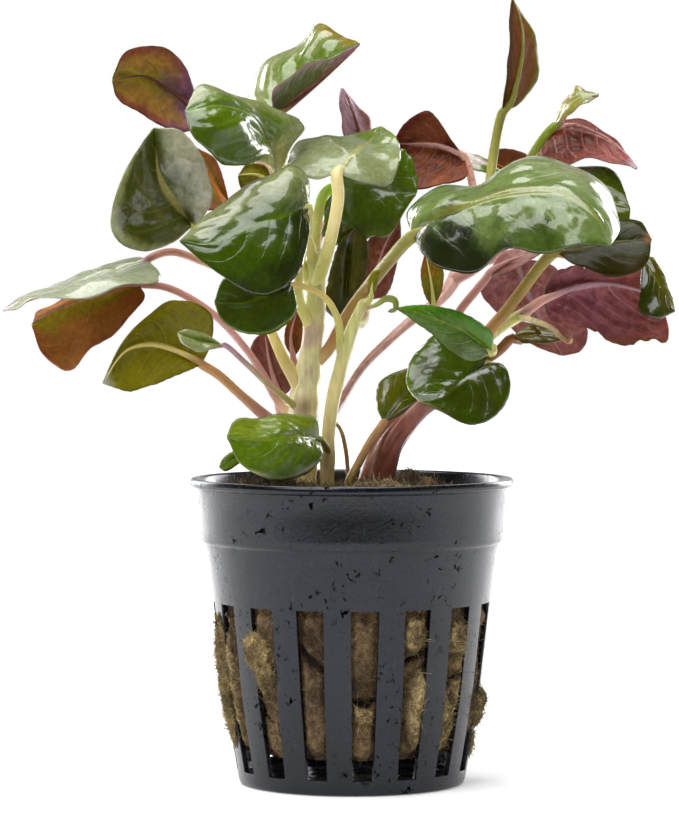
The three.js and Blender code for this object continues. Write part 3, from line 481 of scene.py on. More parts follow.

# Leaves: the stalk leads from the stem to the blade's base, the rib runs on to its tip, and left
# and right are the blade's edges. Lean is how far an edge lies behind (+) or before (-) the rib.
# Top and under give each face's shade and the further shades over regions of it; on some leaves a
# pale grey-green is painted sheen and a near black painted shade, as noted by them. Veins and stem
# give the veins' shades above and below, and the stalk's at its foot and its head. Width is the
# stalk's at its foot and its head.
leaves = {
    "leaf_01_upper_left": {
        "slot": "leaf_olive", "bearer": "stem_main", "shows": "under",
        "stalk": [(-6.05, 83.2, 0.2), (-8.6, 88, 6), (-12.4, 98, 12), (-18, 105, 14)],
        "rib": [(-25, 110, 13), (-30, 113.4, 11), (-34, 115.6, 8), (-39.1, 115, 4)],
        "left": [(-26.3, 115.2), (-29.3, 119.7), (-33, 120.6), (-37, 119.4)],
        "right": [(-26.5, 106.6), (-30.5, 107.1), (-34.5, 109.6), (-38, 111.6)],
        "lean": (-4, -3), "top": ["green", ("deep", "edge")],
        "under": ["#b08438", ("#a49430", "middle"), ("#8c4a34", "edge"), ("#8a5a84", "base")],
        "veins": ("lime", "mauve"), "stem": ("lime", "rose"), "wrinkle": 0.4, "ripple": 1.2,
        "swell": 0.06,
    },
    "leaf_02_high_left": {
        "bearer": "stem_main",
        "stalk": [(-6.1, 85, 0.2), (-8.4, 91.5, -3.4), (-10.6, 96, -4)],
        "rib": [
            (-12, 99, -4), (-13.4, 104.5, -5), (-16.5, 109.2, -9), (-21.5, 110.8, -13), (-27.3, 110, -16)
        ],
        "left": [(-9.8, 104.3), (-7.8, 107.6), (-12.5, 110.5), (-18.5, 112.3), (-24.5, 114.3)],
        "right": [(-14.5, 101.6), (-18.5, 101), (-22.5, 102.2), (-26, 106)],
        # The sage over its left half is painted sheen.
        "lean": (5, -6), "top": ["green", ("deep", "right"), ("sage", "left"), ("lime", "foot")],
        "veins": ("sage", "rose"), "stem": ("lime", "cream"), "ripple": 0.9, "swell": 0.03,
    },
    "leaf_03_left": {
        "bearer": "stem_main",
        "stalk": [(-8.4, 64, -0.2), (-11.2, 69.5, 0), (-13.5, 74.5, 1.8), (-19, 85, 4.2)],
        "rib": [(-26, 91.3, 5), (-28.8, 95, 3), (-31.5, 99.5, 1), (-32.3, 107.2, 0)],
        "left": [(-29.5, 88.2), (-34.5, 87.2), (-38.4, 88.8), (-39.3, 94), (-36.8, 100.5), (-34, 105.2)],
        "right": [(-24, 92.8), (-22.8, 97), (-24.5, 102.5), (-28, 106.8)],
        "lean": (-4, -1), "width": (2, 1.5),
        # The pale grey-green over its right half and the sage along its left rim are painted sheen.
        "top": ["#454c0e", ("#a2a488", "right"), ("sage", "leftRim"), ("deep", "end")],
        "stem": ("straw", "lime"), "gloss": 0.12, "ribWide": 1.4,
    },
    "leaf_04_left_behind": {
        "slot": "leaf_bronze", "bearer": "stem_main", "shows": "under",
        "stalk": [(-5.95, 81.5, 0.1), (-9, 84.6, 6), (-15, 90, 9.6)],
        "rib": [(-20, 94, 11), (-22.8, 98.5, 12), (-25.5, 104, 12)],
        "left": [(-20.6, 97.4), (-22.4, 102.2)],
        "right": [(-24.4, 94), (-26.5, 99)],
        "lean": (-1, -1), "top": ["deep", ("dark", "edge")],
        "under": ["bronze", ("redBrown", "edge"), ("#a8843c", "middle")], "veins": ("lime", "orange"),
        "stem": ("lime", "rose"),
    },
    "leaf_05_top": {
        "bearer": "stem_main", "shows": "sky",
        "stalk": [(-6.1, 84.8, 0.3), (-8.9, 90, 2.8), (-10.2, 99, 3.6), (-12, 105.4, 3.4)],
        "rib": [(-13, 109.6, 2), (-9, 112.2, 3), (-4.5, 115.8, 3), (1.3, 121, 1)],
        "left": [(-17.3, 112.3), (-14.4, 117), (-10, 120.4), (-5.6, 124), (-2, 122.4)],
        "right": [(-12.8, 113), (-10.5, 115.7), (-6, 117.8), (-2, 119.3)],
        # The sage over its left half is painted sheen.
        "lean": (9, -7), "top": ["green", ("sage", "left"), ("#8a7a20", "tipLeft")],
        "under": ["#50561a", ("#b0708a", "rim"), ("#8f5866", "tip")], "veins": ("lime", "mauve"),
        "stem": ("lime", "lime"), "gloss": 0.22, "swell": 0.04,
    },
    "leaf_06_front_left": {
        "bearer": "stem_main",
        "stalk": [(-7, 75, -0.5), (-8.6, 79, -4), (-8.6, 84, -6)],
        "rib": [
            (-7.1, 94.3, -8), (-12, 92.6, -13), (-18, 90.3, -16), (-23.5, 88.2, -18), (-28.2, 88.8, -19)
        ],
        "left": [(-7.2, 98.6), (-9.6, 101.2), (-14, 99.4), (-20, 96), (-25.5, 91.4)],
        "right": [(-7, 90), (-8.4, 84), (-12.5, 80.1), (-18, 80.9), (-24, 85)],
        # The sage over its left half is painted sheen, and the near black of its lower right painted
        # shade.
        "lean": (7, -2), "top": ["#3c5404", ("sage", "left"), ("#222c02", "lowerRight")],
        "veins": ("green", "rose"), "stem": ("lime", "lime"), "gloss": 0.14, "camber": 0.05,
        "groove": 0.06,
    },
    "leaf_07_below_front_left": {
        "bearer": "stem_front",
        "stalk": [(-1.9, 71.5, -2.4), (-2.4, 76.2, -5.5), (-4.8, 79.8, -7.5)],
        "rib": [(-9.8, 81.6, -7.5), (-13.5, 80, -8.5), (-18, 78.5, -9.5), (-22.5, 78.8, -10)],
        "left": [(-12, 84), (-17, 84.5), (-21, 82.6)],
        "right": [(-9, 77.4), (-12.5, 73.9), (-17.5, 73.6), (-21.4, 75.9)],
        "lean": (0, -1), "top": ["deep", ("dark", "patches"), ("green", "rim")],
        "veins": ("green", "rose"), "stem": ("lime", "straw"), "gloss": 0.24, "width": (1.2, 1),
        "camber": 0.03, "groove": 0.04,
    },
    "leaf_08_far_left": {
        "bearer": "stem_main", "shows": "sky",
        "stalk": [
            (-6.6, 76.5, 0.3), (-11, 79, 5.5), (-17, 82.2, 9.5), (-24.5, 85.4, 8), (-29.5, 86.9, 5)
        ],
        "rib": [(-33.3, 85.7, 2), (-38, 83.3, -1), (-46, 81.3, -6), (-52, 79.6, -10), (-57.2, 77.4, -13)],
        "left": [(-35, 86.1), (-40.5, 84), (-47, 81.9), (-53, 79.5)],
        "right": [(-31.5, 82.6), (-38, 80.9), (-46.5, 79.1), (-52.4, 79.2), (-55, 77.6)],
        "lean": (9, -7), "width": (1.3, 1.3),
        # Its pale silvery grey-greens are a painted reflection; the lilac at its end is its own colour.
        "top": ["#a6b094", ("#b0b79c", "patches"), ("#9aa582", "base"), ("lilac", "end")],
        "under": ["mauve", ("lilac", "tip")], "veins": ("green", "rose"), "stem": ("lime", "rose"),
        "gloss": 0.24,
    },
    "leaf_09_far_left_hanging": {
        "slot": "leaf_bronze", "bearer": "stem_main", "shows": "under",
        "stalk": [(-8.9, 58.5, 0.5), (-12, 62.5, 2), (-16.5, 70, 3), (-22.5, 76.6, 3), (-30, 81, 1)],
        "rib": [(-34.8, 81.6, -1), (-40, 80.2, -2.5), (-46, 78.6, -4), (-52.4, 75, -6)],
        "left": [(-38, 81.9), (-43, 80.9), (-48, 79.2), (-51.3, 77.2)],
        "right": [(-33.9, 79.4), (-37.5, 75), (-42.5, 71), (-46, 67.8), (-50.4, 69.9)],
        "lean": (8, -3), "width": (1.5, 1.2), "top": ["deep", ("dark", "edge")],
        "under": ["#ac7030", ("#948416", "middle"), ("#9a5334", "rim"), ("plum", "leftRim")],
        "veins": ("lime", "tan"), "stem": ("rose", "rose"), "swell": 0.05,
    },
    "leaf_10_low_left": {
        "slot": "leaf_olive", "bearer": "stem_main", "shows": "under",
        "stalk": [(-8.6, 56, -0.5), (-14, 60, -3), (-18, 63.4, -3.5), (-22, 66.9, -3)],
        "rib": [
            (-24.6, 68.5, -3), (-28, 70.3, -4), (-33, 71.8, -6), (-37.5, 70.6, -9), (-40.8, 65.4, -12)
        ],
        "left": [(-23, 72), (-22.8, 76.2), (-25.5, 78.6), (-30, 78.9), (-34.5, 75.6), (-38.2, 70.9)],
        "right": [(-27, 67.4), (-32, 65.4), (-36.5, 64.1), (-39, 64.8)],
        "lean": (1, -2), "width": (1.9, 1.5), "top": ["green", ("deep", "edge")],
        # The silver at its end is painted sheen on the curled tip.
        "under": ["#766e08", ("#7c7408", "patches"), ("silver", "end")], "veins": ("lime", "straw"),
        "stem": ("rose", "tan"), "gloss": 0.2, "underVeins": 0.1, "swell": 0.025,
    },
    "leaf_11_curled_left": {
        "bearer": "stem_main",
        "stalk": [(-8.5, 60.5, -0.5), (-14.5, 66, -5), (-18, 69.3, -7)],
        "rib": [(-21, 71.8, -8.5), (-24.8, 72.4, -9.5), (-28.6, 73.8, -10.5)],
        "left": [(-24, 73.5), (-27.2, 74.3)],
        "right": [(-22.6, 71), (-25.6, 70.7), (-27.9, 72.2)],
        # The white along its rim is a painted highlight on the curled edges.
        "lean": (1, -2), "width": (1, 0.9), "top": ["sage", ("green", "middle"), ("white", "rim")],
        "veins": ("fresh", "rose"), "stem": ("lime", "lilac"),
    },
    "leaf_12_low_purple": {
        "slot": "leaf_purple", "bearer": "stem_main", "shows": "under",
        "stalk": [(-8.8, 56, 0.8), (-11, 60, 4)],
        "rib": [(-12, 63, 5), (-13.3, 68, 6), (-14.3, 73.9, 6)],
        "left": [(-14.3, 65.3), (-16.7, 69.8), (-16, 72.6)],
        "right": [(-10, 64.6), (-11.2, 69), (-12.6, 72.2)],
        "lean": (-1, -1), "width": (2.4, 1.8), "under": ["plum", ("mauve", "patches")],
        "stem": ("redBrown", "rose"), "wrinkle": 0.4,
    },
    "leaf_13_beside_stem": {
        "slot": "leaf_purple", "bearer": "stem_main", "shows": "under",
        "stalk": [(-7.6, 63, 0.8), (-9, 67.6, 3.5)],
        "rib": [(-9.6, 69.5, 4.2), (-10, 73, 4.6), (-9, 77.4, 4.6)],
        "left": [(-11, 72), (-10.6, 75.4)],
        "right": [(-8.3, 71.6), (-8, 75)],
        "lean": (0, 0), "width": (1.3, 1.2), "under": ["bronze", ("redBrown", "patches")],
        "stem": ("rose", "rose"),
    },
    "leaf_14_front_low": {
        "bearer": "stem_front",
        "stalk": [(-3.8, 53.5, -3.2)],
        "rib": [(-5.2, 56.3, -6.5), (-10, 56.8, -12), (-15, 56, -16), (-20.5, 56.8, -18)],
        "left": [(-6, 59.8), (-10.5, 60.5), (-15.5, 59.9), (-19.2, 59.4)],
        "right": [(-5, 53), (-8.5, 50), (-13, 49.6), (-18, 51.9)],
        "lean": (3, -2), "top": ["green", ("fresh", "left"), ("deep", "lowerRight"), ("sage", "rim")],
        "veins": ("fresh", "rose"), "stem": ("tan", "leafStalk"), "gloss": 0.13, "width": (1.1, 1),
        "swell": 0.03, "camber": 0.02, "groove": 0.05, "ripple": 1.0,
    },
    "leaf_15_tiny_low": {
        "bearer": "stem_main",
        "stalk": [(-8.4, 51.6, -0.5), (-13, 52.6, -6)],
        "rib": [(-17, 53.6, -10), (-19.5, 53, -11), (-21.8, 51.7, -11.5)],
        "left": [(-19, 54.5), (-21.2, 53.2)],
        "right": [(-18.6, 52.2), (-20.8, 51)],
        "lean": (0, 0), "width": (1, 0.9), "top": ["green", ("fresh", "rim")], "veins": ("fresh", "rose"),
        "stem": ("lime", "lime"),
    },
    "leaf_16_centre_top": {
        "bearer": "stem_main", "shows": "sky",
        "stalk": [(-5.9, 81.5, -0.2), (-4.2, 86.5, -3.4), (-3, 91, -5), (-2.2, 96, -6)],
        "rib": [(-2.4, 99.8, -6), (0.3, 102.9, -3), (3, 105, 4), (4.8, 107.5, 11)],
        "left": [(-6.6, 98.7), (-10.7, 101.6), (-9, 104.5), (-3, 105.2), (1.5, 106.4)],
        "right": [(2, 98.1), (6, 98.1), (7.8, 101.6), (7.8, 104.6), (6.4, 106.4)],
        # Its pale grey-green and the sage patches are painted sheen over its green; the green at the tip
        # is its own.
        "lean": (-1, -3), "width": (2.1, 2), "top": ["#a4b088", ("sage", "patches"), ("#7f9a30", "tip")],
        "stem": ("lime", "cream"),
    },
    "leaf_17_centre_behind": {
        "bearer": "stem_main",
        "stalk": [(-6.2, 87.4, 0.5), (-5.7, 92, 2.4), (-4.6, 96.4, 5.6)],
        "rib": [(-2.6, 97.6, 9), (1, 98, 12), (6, 97, 13), (10.6, 96.6, 11)],
        "left": [(-3, 101.5), (2, 104.2), (8, 104.2), (10.6, 100.6)],
        "right": [(-5.6, 92), (-3.6, 88.6), (2, 88.4), (6.2, 90), (9.2, 94.4)],
        "lean": (0, -2), "width": (1.8, 1.7),
        "top": ["#52700c", ("deep", "patches"), ("green", "rightRim")], "veins": ("green", "rose"),
        "stem": ("lime", "#a4d02a"), "ragged": 0.16,
    },
    "leaf_18_purple_tip": {
        "slot": "leaf_purple", "bearer": "stem_main", "shows": "under",
        "stalk": [(-6, 78.6, 0), (-5.8, 81, 6), (-5.9, 85, 12), (-5, 90, 17), (-2.6, 95, 20)],
        "rib": [(1.4, 103.3, 20), (0.5, 108, 20), (-1.9, 113.7, 18.5)],
        "left": [(-0.9, 104.6), (-1.8, 109), (-2.1, 112)],
        "right": [(3.2, 105.4), (3, 108.4), (0.8, 111)],
        "lean": (-2, 2), "width": (1.5, 1.2), "top": ["moss", ("plum", "edge")],
        "under": ["lilac", ("mauve", "right"), ("wine", "foot")], "veins": ("lime", "mauve"),
        "stem": ("rose", "rose"), "underVeins": 0.6,
    },
    "leaf_19_red_behind": {
        "slot": "leaf_bronze", "bearer": "stem_pink", "shows": "under",
        "stalk": [(19.15, 87.8, 13.95), (20, 92.5, 15.2), (19.6, 98, 16.5)],
        "rib": [(18.2, 102.6, 16.5), (14.5, 104.2, 17), (10.5, 104.5, 18), (6.5, 104.5, 19)],
        "left": [(16.4, 105), (12.4, 110), (8.5, 107.8)],
        "right": [(18.7, 99.2), (14, 97.7), (9, 97.4), (6.9, 101)],
        "lean": (-2, -3), "width": (1.5, 1.4),
        "under": ["#94502c", ("redBrown", "patches"), ("#6c3018", "base"), ("wine", "tip")],
        "stem": ("rose", "pink"), "swell": 0.07, "underVeins": 0.25, "ripple": 1.3, "wrinkle": 0.6,
    },
    "leaf_20_sliver": {
        "bearer": "stem_pink", "shows": "sky",
        "stalk": [(18.8, 86.8, 13.7), (21, 90.4, 18.6), (24.4, 96.8, 20.6)],
        "rib": [(24.4, 100.2, 21), (21, 101.3, 21), (17.6, 103.3, 21)],
        "left": [(22.3, 102), (19.5, 103)],
        "right": [(22.2, 99.7), (19.4, 100.7)],
        # The white at its tip is painted sheen.
        "lean": (2, -2), "width": (1.3, 1.1), "top": ["green", ("lilac", "middle"), ("white", "tip")],
        "under": ["mauve", ("lilac", "edge")], "stem": ("rose", "lime"),
    },
    "leaf_21_brown_behind": {
        "slot": "leaf_bronze", "bearer": "stem_pink", "shows": "under",
        "stalk": [(17.9, 85.1, 13), (22.4, 87.7, 18.6), (29.6, 91.6, 23.4)],
        "rib": [(31.5, 96.5, 24.5), (27, 99.5, 25), (22.7, 101.8, 25)],
        "left": [(30.4, 101.4), (27, 103.5), (23.4, 103.6)],
        "right": [(28.6, 95.4), (25, 95.8), (22.6, 98.5)],
        "lean": (-1, -1), "width": (1.5, 1.3), "top": ["bronze", ("brown", "edge")],
        "under": ["brown", ("redBrown", "patches")], "veins": ("orange", "orange"),
        "stem": ("rose", "rose"),
    },
    "leaf_22_tall": {
        "slot": "leaf_bronze", "bearer": "stem_pink", "shows": "under",
        "stalk": [(18.6, 86.4, 13.5), (20.4, 90, 10.6), (22.3, 97, 9.6), (23.3, 104, 9.8)],
        "rib": [(24.5, 109.6, 9.5), (26.2, 114, 9), (27.4, 119, 8.5), (27.3, 124, 8), (26, 128.3, 7.5)],
        "left": [(24.8, 112), (25.3, 116.5), (25.7, 121.5), (25.7, 125.6)],
        "right": [(28, 111.6), (30.5, 116.5), (29.9, 121.8), (27.9, 125.8)],
        "lean": (-2, 3), "width": (1.7, 1.6),
        "under": [
            "redBrown", ("bronze", "patches"), ("brown", "left"), ("olive", "rightRim"),
            ("leafStalk", "heel")
        ],
        "veins": ("lime", "leafStalk"), "stem": ("lime", "leafStalk"), "underVeins": 0.15,
    },
    "leaf_23_rolled_shoot": {
        "slot": "leaf_olive", "bearer": "stem_pink",
        "stalk": [(17.9, 84.9, 13), (21.3, 87, 9.4), (25.6, 93, 9.2), (29.2, 102.5, 8.5)],
        "rib": [(33, 107.4, 8), (35.2, 110.6, 7), (37.4, 112.2, 6), (40.3, 112.8, 5)],
        "left": [(33.6, 109.9), (36.6, 114), (38.2, 113.3)],
        "right": [(35, 108.8), (37, 110.6), (38.6, 111.5)],
        "lean": (2, -2), "width": (1.4, 1.4), "top": ["leafStalk", ("sage", "tip"), ("pink", "rim")],
        "under": ["leafStalk", ("pink", "edge"), ("bronze", "tip")], "veins": ("lime", "pink"),
        "stem": ("rose", "fresh"), "swell": 0.08, "ripple": 1.3,
    },
    "leaf_24_drooping_right": {
        "slot": "leaf_bronze", "bearer": "stem_pink", "shows": "under",
        "stalk": [(17.3, 84, 12.6), (21.8, 87.7, 14), (28, 93.2, 15.4), (29.8, 99, 15)],
        "rib": [(31.2, 105, 14), (35, 107.2, 12), (40, 106, 8), (43.6, 103.6, 5), (46.5, 100.3, 3)],
        "left": [(32.6, 108), (37.5, 108.5), (41.5, 106.5), (44.6, 103.4)],
        "right": [(30.9, 102.8), (33.8, 101.2), (38, 102), (42.5, 101.5), (45, 101.1)],
        "lean": (5, -5), "width": (1.4, 1.3),
        "under": ["wine", ("brown", "foot"), ("#8a4a44", "tip"), ("lilac", "end")],
        "stem": ("rose", "tan"), "swell": 0.07, "ripple": 1.0, "wrinkle": 0.8, "camber": 0.04,
    },
    "leaf_25_big_right": {
        "bearer": "stem_main",
        "stalk": [
            (-7, 67.4, 0), (-3.7, 71.2, 0.4), (-1.9, 74.5, 1.2), (0.4, 78.2, 1.6), (3, 81.6, 0.2),
            (6, 85.4, -4)
        ],
        "rib": [
            (10, 89.6, -10), (13.2, 91.7, -12), (20, 95, -15), (27, 96.7, -18), (34, 96.6, -21),
            (39.8, 93, -23), (42.3, 88, -24)
        ],
        "left": [(9, 94), (14, 97.6), (21, 97.4), (28.7, 103), (36.5, 100.2), (41.8, 97.6), (43.8, 91.5)],
        "right": [(11.5, 86.6), (15, 83.9), (20, 84), (25.5, 87), (32, 87), (38, 88.2)],
        "lean": (12, -2), "width": (2, 2.1),
        # The grey-green over its upper left is painted sheen, and its greyish base shade partly so; the
        # near black of its lower right is painted shade where the lobe curls under.
        "top": ["#6f8444", ("#567422", "edge"), ("#8f9b6c", "upperLeft"), ("#1a2402", "lowerRight")],
        "veins": ("leafStalk", "tan"), "stem": ("tan", "leafStalk"), "groove": 0.3, "ripple": 0.9,
        "ribWide": 1.5,
    },
    "leaf_26_right_behind": {
        "bearer": "stem_pink",
        "stalk": [(16.5, 82.2, 12.1), (19.4, 83.9, 9.8), (23.6, 86.8, 7), (27.4, 90, 5.2)],
        "rib": [(31, 92, 4), (37, 96, 3), (45.5, 94, 1)],
        "left": [(33, 99.6), (38, 101.1), (43, 99.9)],
        "right": [(36, 90.6), (41, 89.4), (45, 90.8)],
        "lean": (4, -2), "width": (2, 1.6), "top": ["deep", ("moss", "patches"), ("green", "leftRim")],
        "veins": ("straw", "rose"), "stem": ("rose", "rose"), "gloss": 0.2, "shine": 0.3,
    },
    "leaf_27_right_low_band": {
        "slot": "leaf_olive", "bearer": "stem_red",
        "stalk": [(20.5, 71, 3.7), (22.7, 74.3, 1.2), (25, 77, 0.6), (28, 81, 0), (31, 85, -1.6)],
        "rib": [(33.4, 87, -3), (38, 87.6, -4.5), (43, 88.6, -5.5), (49, 89, -6)],
        "left": [(35, 90), (41, 92), (46.6, 92.3)],
        "right": [(36.5, 84.8), (41, 83.4), (45, 82.9), (48.2, 85.3)],
        "lean": (4, -4), "width": (2, 1.9), "top": ["#262c02", ("#3c3404", "patches"), ("bronze", "end")],
        "veins": ("olive", "rose"), "stem": ("tan", "#8f8240"), "coat": 0.0, "gloss": 0.26, "shine": 0.15,
    },
    "leaf_28_narrow_right": {
        "slot": "leaf_purple", "bearer": "stem_red", "shows": "under",
        "stalk": [
            (12.6, 62.7, 2.7), (13.4, 67.5, 5.4), (15.2, 73, 7.2), (17.7, 77.5, 7.2), (20.2, 80.6, 6.2)
        ],
        "rib": [(22.2, 83, 5), (26, 85.3, 3.6), (31.8, 87.2, 2.4)],
        "left": [(24, 86.4), (28.5, 88)],
        "right": [(24.5, 83.2), (28.5, 85.1)],
        "lean": (1, -1), "width": (1.6, 1.4), "under": ["mauve", ("rose", "patches")],
        "stem": ("rose", "rose"),
    },
    "leaf_29_far_right": {
        "bearer": "stem_pink",
        "stalk": [(17, 83.2, 12.4), (21.2, 85.1, 14.8), (31, 87.9, 14), (41, 88.8, 9.6)],
        "rib": [(47.4, 86.2, 4), (49.8, 82.5, 2), (52.9, 77.2, 0)],
        "left": [(49.9, 85.7), (52, 81.8)],
        "right": [(47.2, 81.5), (47.2, 77.2), (49.8, 76)],
        "lean": (3, -3), "width": (1.4, 1.2), "top": ["moss", ("sage", "left"), ("dark", "right")],
        "veins": ("green", "rose"), "stem": ("rose", "lime"), "shine": 0.35,
    },
    "leaf_30_big_purple": {
        "slot": "leaf_purple", "bearer": "stem_right_branch", "shows": "under",
        "stalk": [(28.6, 77.3, 7.2)],
        "rib": [(31.4, 79.2, 9.4), (36, 81, 12), (42, 81.8, 13), (50.8, 79.5, 12)],
        "left": [(32.5, 83), (38, 85), (45, 85.4), (50, 83.2)],
        "right": [(32.4, 75.6), (38, 74.8), (42, 72.6), (47, 72), (51.4, 72.4)],
        "lean": (-1, -2), "width": (1.5, 1.4),
        "under": ["#90525a", ("#8a4740", "tip"), ("redBrown", "rim")], "veins": ("lime", "lilac"),
        "stem": ("rose", "pink"), "swell": 0.09, "underVeins": 0.3, "wave": 0.08, "toothCount": 17,
        "teeth": 0.3, "ripple": 1.6, "ragged": 0.22, "wrinkle": 0.6,
    },
    "leaf_31_purple_lobe": {
        "slot": "leaf_purple", "bearer": "stem_pink", "shows": "under",
        "stalk": [(15.6, 81, 11.5), (17.8, 83.2, 15), (22, 85.8, 17.4)],
        "rib": [(26.5, 86, 18), (28.5, 81, 18.5), (31, 75.5, 18.5), (34.4, 70, 17)],
        "left": [(22.6, 83.6), (21, 80.6), (24.5, 76.2), (29, 72)],
        "right": [(33, 84.6), (36, 79), (38.6, 73.6), (37.4, 70.8)],
        "lean": (-2, -2), "width": (1.5, 1.4),
        "under": ["#ac7478", ("mauvePink", "patches"), ("#8e5350", "tip")], "veins": ("lime", "lilac"),
        "stem": ("rose", "rose"), "swell": 0.07, "underVeins": 0.25, "ripple": 1.4, "wrinkle": 0.6,
    },
    "leaf_32_front_right": {
        "bearer": "stem_red",
        "stalk": [(19.3, 69.6, 3.5), (21.4, 70.9, 0), (23, 71.4, -3)],
        "rib": [(22.8, 70.4, -5.5), (18.5, 73.8, -10), (13, 76.3, -15), (7.2, 77.9, -19)],
        "left": [(23, 73.4), (20.8, 75.6), (16, 77.7), (11, 78.3)],
        "right": [(19.6, 68.7), (16.4, 70.3), (12.8, 73.6), (9.6, 76)],
        "lean": (2, -1), "width": (1.5, 1.3),
        "top": ["#4c7008", ("#468414", "left"), ("deep", "lowerRight")], "veins": ("fresh", "rose"),
        "stem": ("rose", "lime"), "gloss": 0.08, "coat": 0.0, "shine": 0.25, "topVeins": 0.25,
        "camber": 0.05,
    },
    "leaf_33_front_right_round": {
        "bearer": "stem_red",
        "stalk": [(17, 67.2, 3.2), (19.6, 67.8, 0.4)],
        "rib": [(22.2, 68.8, -1), (18, 66, -5), (14.5, 63, -8), (11.2, 62.4, -10)],
        "left": [(21, 71), (14, 73.4), (10.3, 70.4), (8.8, 66.2), (9.8, 63.8)],
        "right": [(24.8, 68.4), (25.9, 64.2), (23, 59.6), (18.6, 58.9), (14.3, 61)],
        "lean": (3, -2), "width": (1.5, 1.3),
        "top": ["deep", ("dark", "patches"), ("green", "leftRim"), ("sage", "end")],
        "veins": ("deep", "rose"), "stem": ("rose", "lime"), "gloss": 0.12, "swell": 0.03, "camber": 0.05,
        "groove": 0.08,
    },
    "leaf_34_low_right": {
        "bearer": "stem_red",
        "stalk": [
            (3.1, 43, 1.6), (0.2, 46, -1.8), (-0.6, 48.6, -2.8), (1.2, 52.6, -2.4), (3.3, 56.4, -1.2)
        ],
        "rib": [(5.2, 59, 0.2), (7.5, 62, 1), (10, 65, 2), (12.6, 68.4, 3)],
        "left": [(4, 61.6), (4.5, 65.6), (8.5, 67.8)],
        "right": [(8.6, 60.6), (12.6, 62.2), (14, 66)],
        "lean": (0, 1), "width": (1.7, 1.4), "top": ["deep", ("green", "left"), ("olive", "patches")],
        "veins": ("green", "rose"), "stem": ("olive", "tan"), "gloss": 0.18,
    },
    "leaf_35_small_olive": {
        "slot": "leaf_olive", "bearer": "stem_red",
        "stalk": [(18.4, 68.6, 3.4), (22, 69.4, 3), (24.2, 71, 2.6)],
        "rib": [(26.2, 72.9, 2.2), (30, 73.3, 1.4), (35.4, 73, 0.4)],
        "left": [(28.5, 74.9), (32.5, 74.5)],
        "right": [(28.6, 72), (32.4, 71.9)],
        "lean": (2, -2), "width": (1.6, 1.7), "top": ["olive", ("moss", "edge")],
        "veins": ("straw", "rose"), "stem": ("moss", "bronze"),
    },
    "leaf_36_centre_dark": {
        "bearer": "stem_main",
        "stalk": [(-6.8, 68, 0.8), (-3.2, 72, 7)],
        "rib": [(-1.6, 75, 9), (-1, 80, 10), (-0.6, 86, 10.5), (0.4, 91, 10)],
        "left": [(-4.7, 78.2), (-3.8, 83), (-2, 88.6)],
        "right": [(1.4, 77.6), (2.4, 83), (2.6, 88.6)],
        "lean": (-1, -1), "width": (1.4, 1.3), "top": ["dark", ("moss", "patches")],
        "veins": ("deep", "rose"), "stem": ("lime", "lime"),
    },
    "leaf_37_centre_purple": {
        "slot": "leaf_purple", "bearer": "stem_front", "shows": "under",
        "stalk": [(0, 74.4, -2.2), (1.8, 75.4, 3), (2.4, 77.4, 9)],
        "rib": [(2.6, 79, 13), (4, 84, 15), (5.6, 88.5, 16), (7.9, 92.4, 16)],
        "left": [(0.8, 81.5), (1.5, 86.4), (4.4, 91)],
        "right": [(5.6, 79.9), (7.1, 83.8), (8, 89.6)],
        "lean": (0, 0), "width": (1.3, 1.2), "under": ["mauve", ("redBrown", "patches")],
        "stem": ("lime", "rose"), "wrinkle": 0.5,
    },
    "leaf_38_green_strip": {
        "slot": "leaf_olive", "bearer": "stem_pink", "shows": "under",
        "stalk": [(10.6, 76.5, 8.3), (12.4, 76, 4.5)],
        "rib": [(13.3, 77.8, 3), (13, 81.5, 2), (12, 87, 2)],
        "left": [(12, 79.6), (11.2, 83.5)],
        "right": [(14.6, 80.4), (14.8, 84.6)],
        "lean": (0, 0), "width": (1.2, 1.1), "top": ["green", ("deep", "edge")],
        "under": ["olive", ("bronze", "tip")], "veins": ("lime", "lime"), "stem": ("rose", "lime"),
    },
    "leaf_39_young_olive": {
        "slot": "leaf_olive", "bearer": "stem_main", "shows": "under",
        "stalk": [(-5.95, 79, 0), (-9.2, 87, 0), (-12, 94, 2.8)],
        "rib": [(-12.8, 97.6, 5), (-15.5, 99.4, 4), (-18.6, 99.4, 3)],
        "left": [(-14, 100.8), (-17, 101.4)],
        "right": [(-15, 96.6), (-18, 97)],
        "lean": (1, -1), "width": (1.5, 1.2), "top": ["green", ("deep", "edge")],
        "under": ["olive", ("moss", "edge")], "veins": ("lime", "lime"), "stem": ("lime", "lime"),
    },
    "leaf_40_edge_curl": {
        "bearer": "stem_front", "shows": "under",
        "stalk": [(1.9, 78.5, -2.3), (2.8, 78.9, -4)],
        "rib": [(3.2, 79.8, -5), (3.3, 81.6, -5.6), (4.7, 84, -6.4)],
        "left": [(2.4, 81.2), (3.4, 83.8)],
        "right": [(4, 81), (4.4, 82.8)],
        "lean": (0, 0), "width": (1, 0.9), "top": ["olive", ("fresh", "edge")],
        "under": ["olive", ("fresh", "edge")], "veins": ("lime", "lime"), "stem": ("lime", "lime"),
    },
}


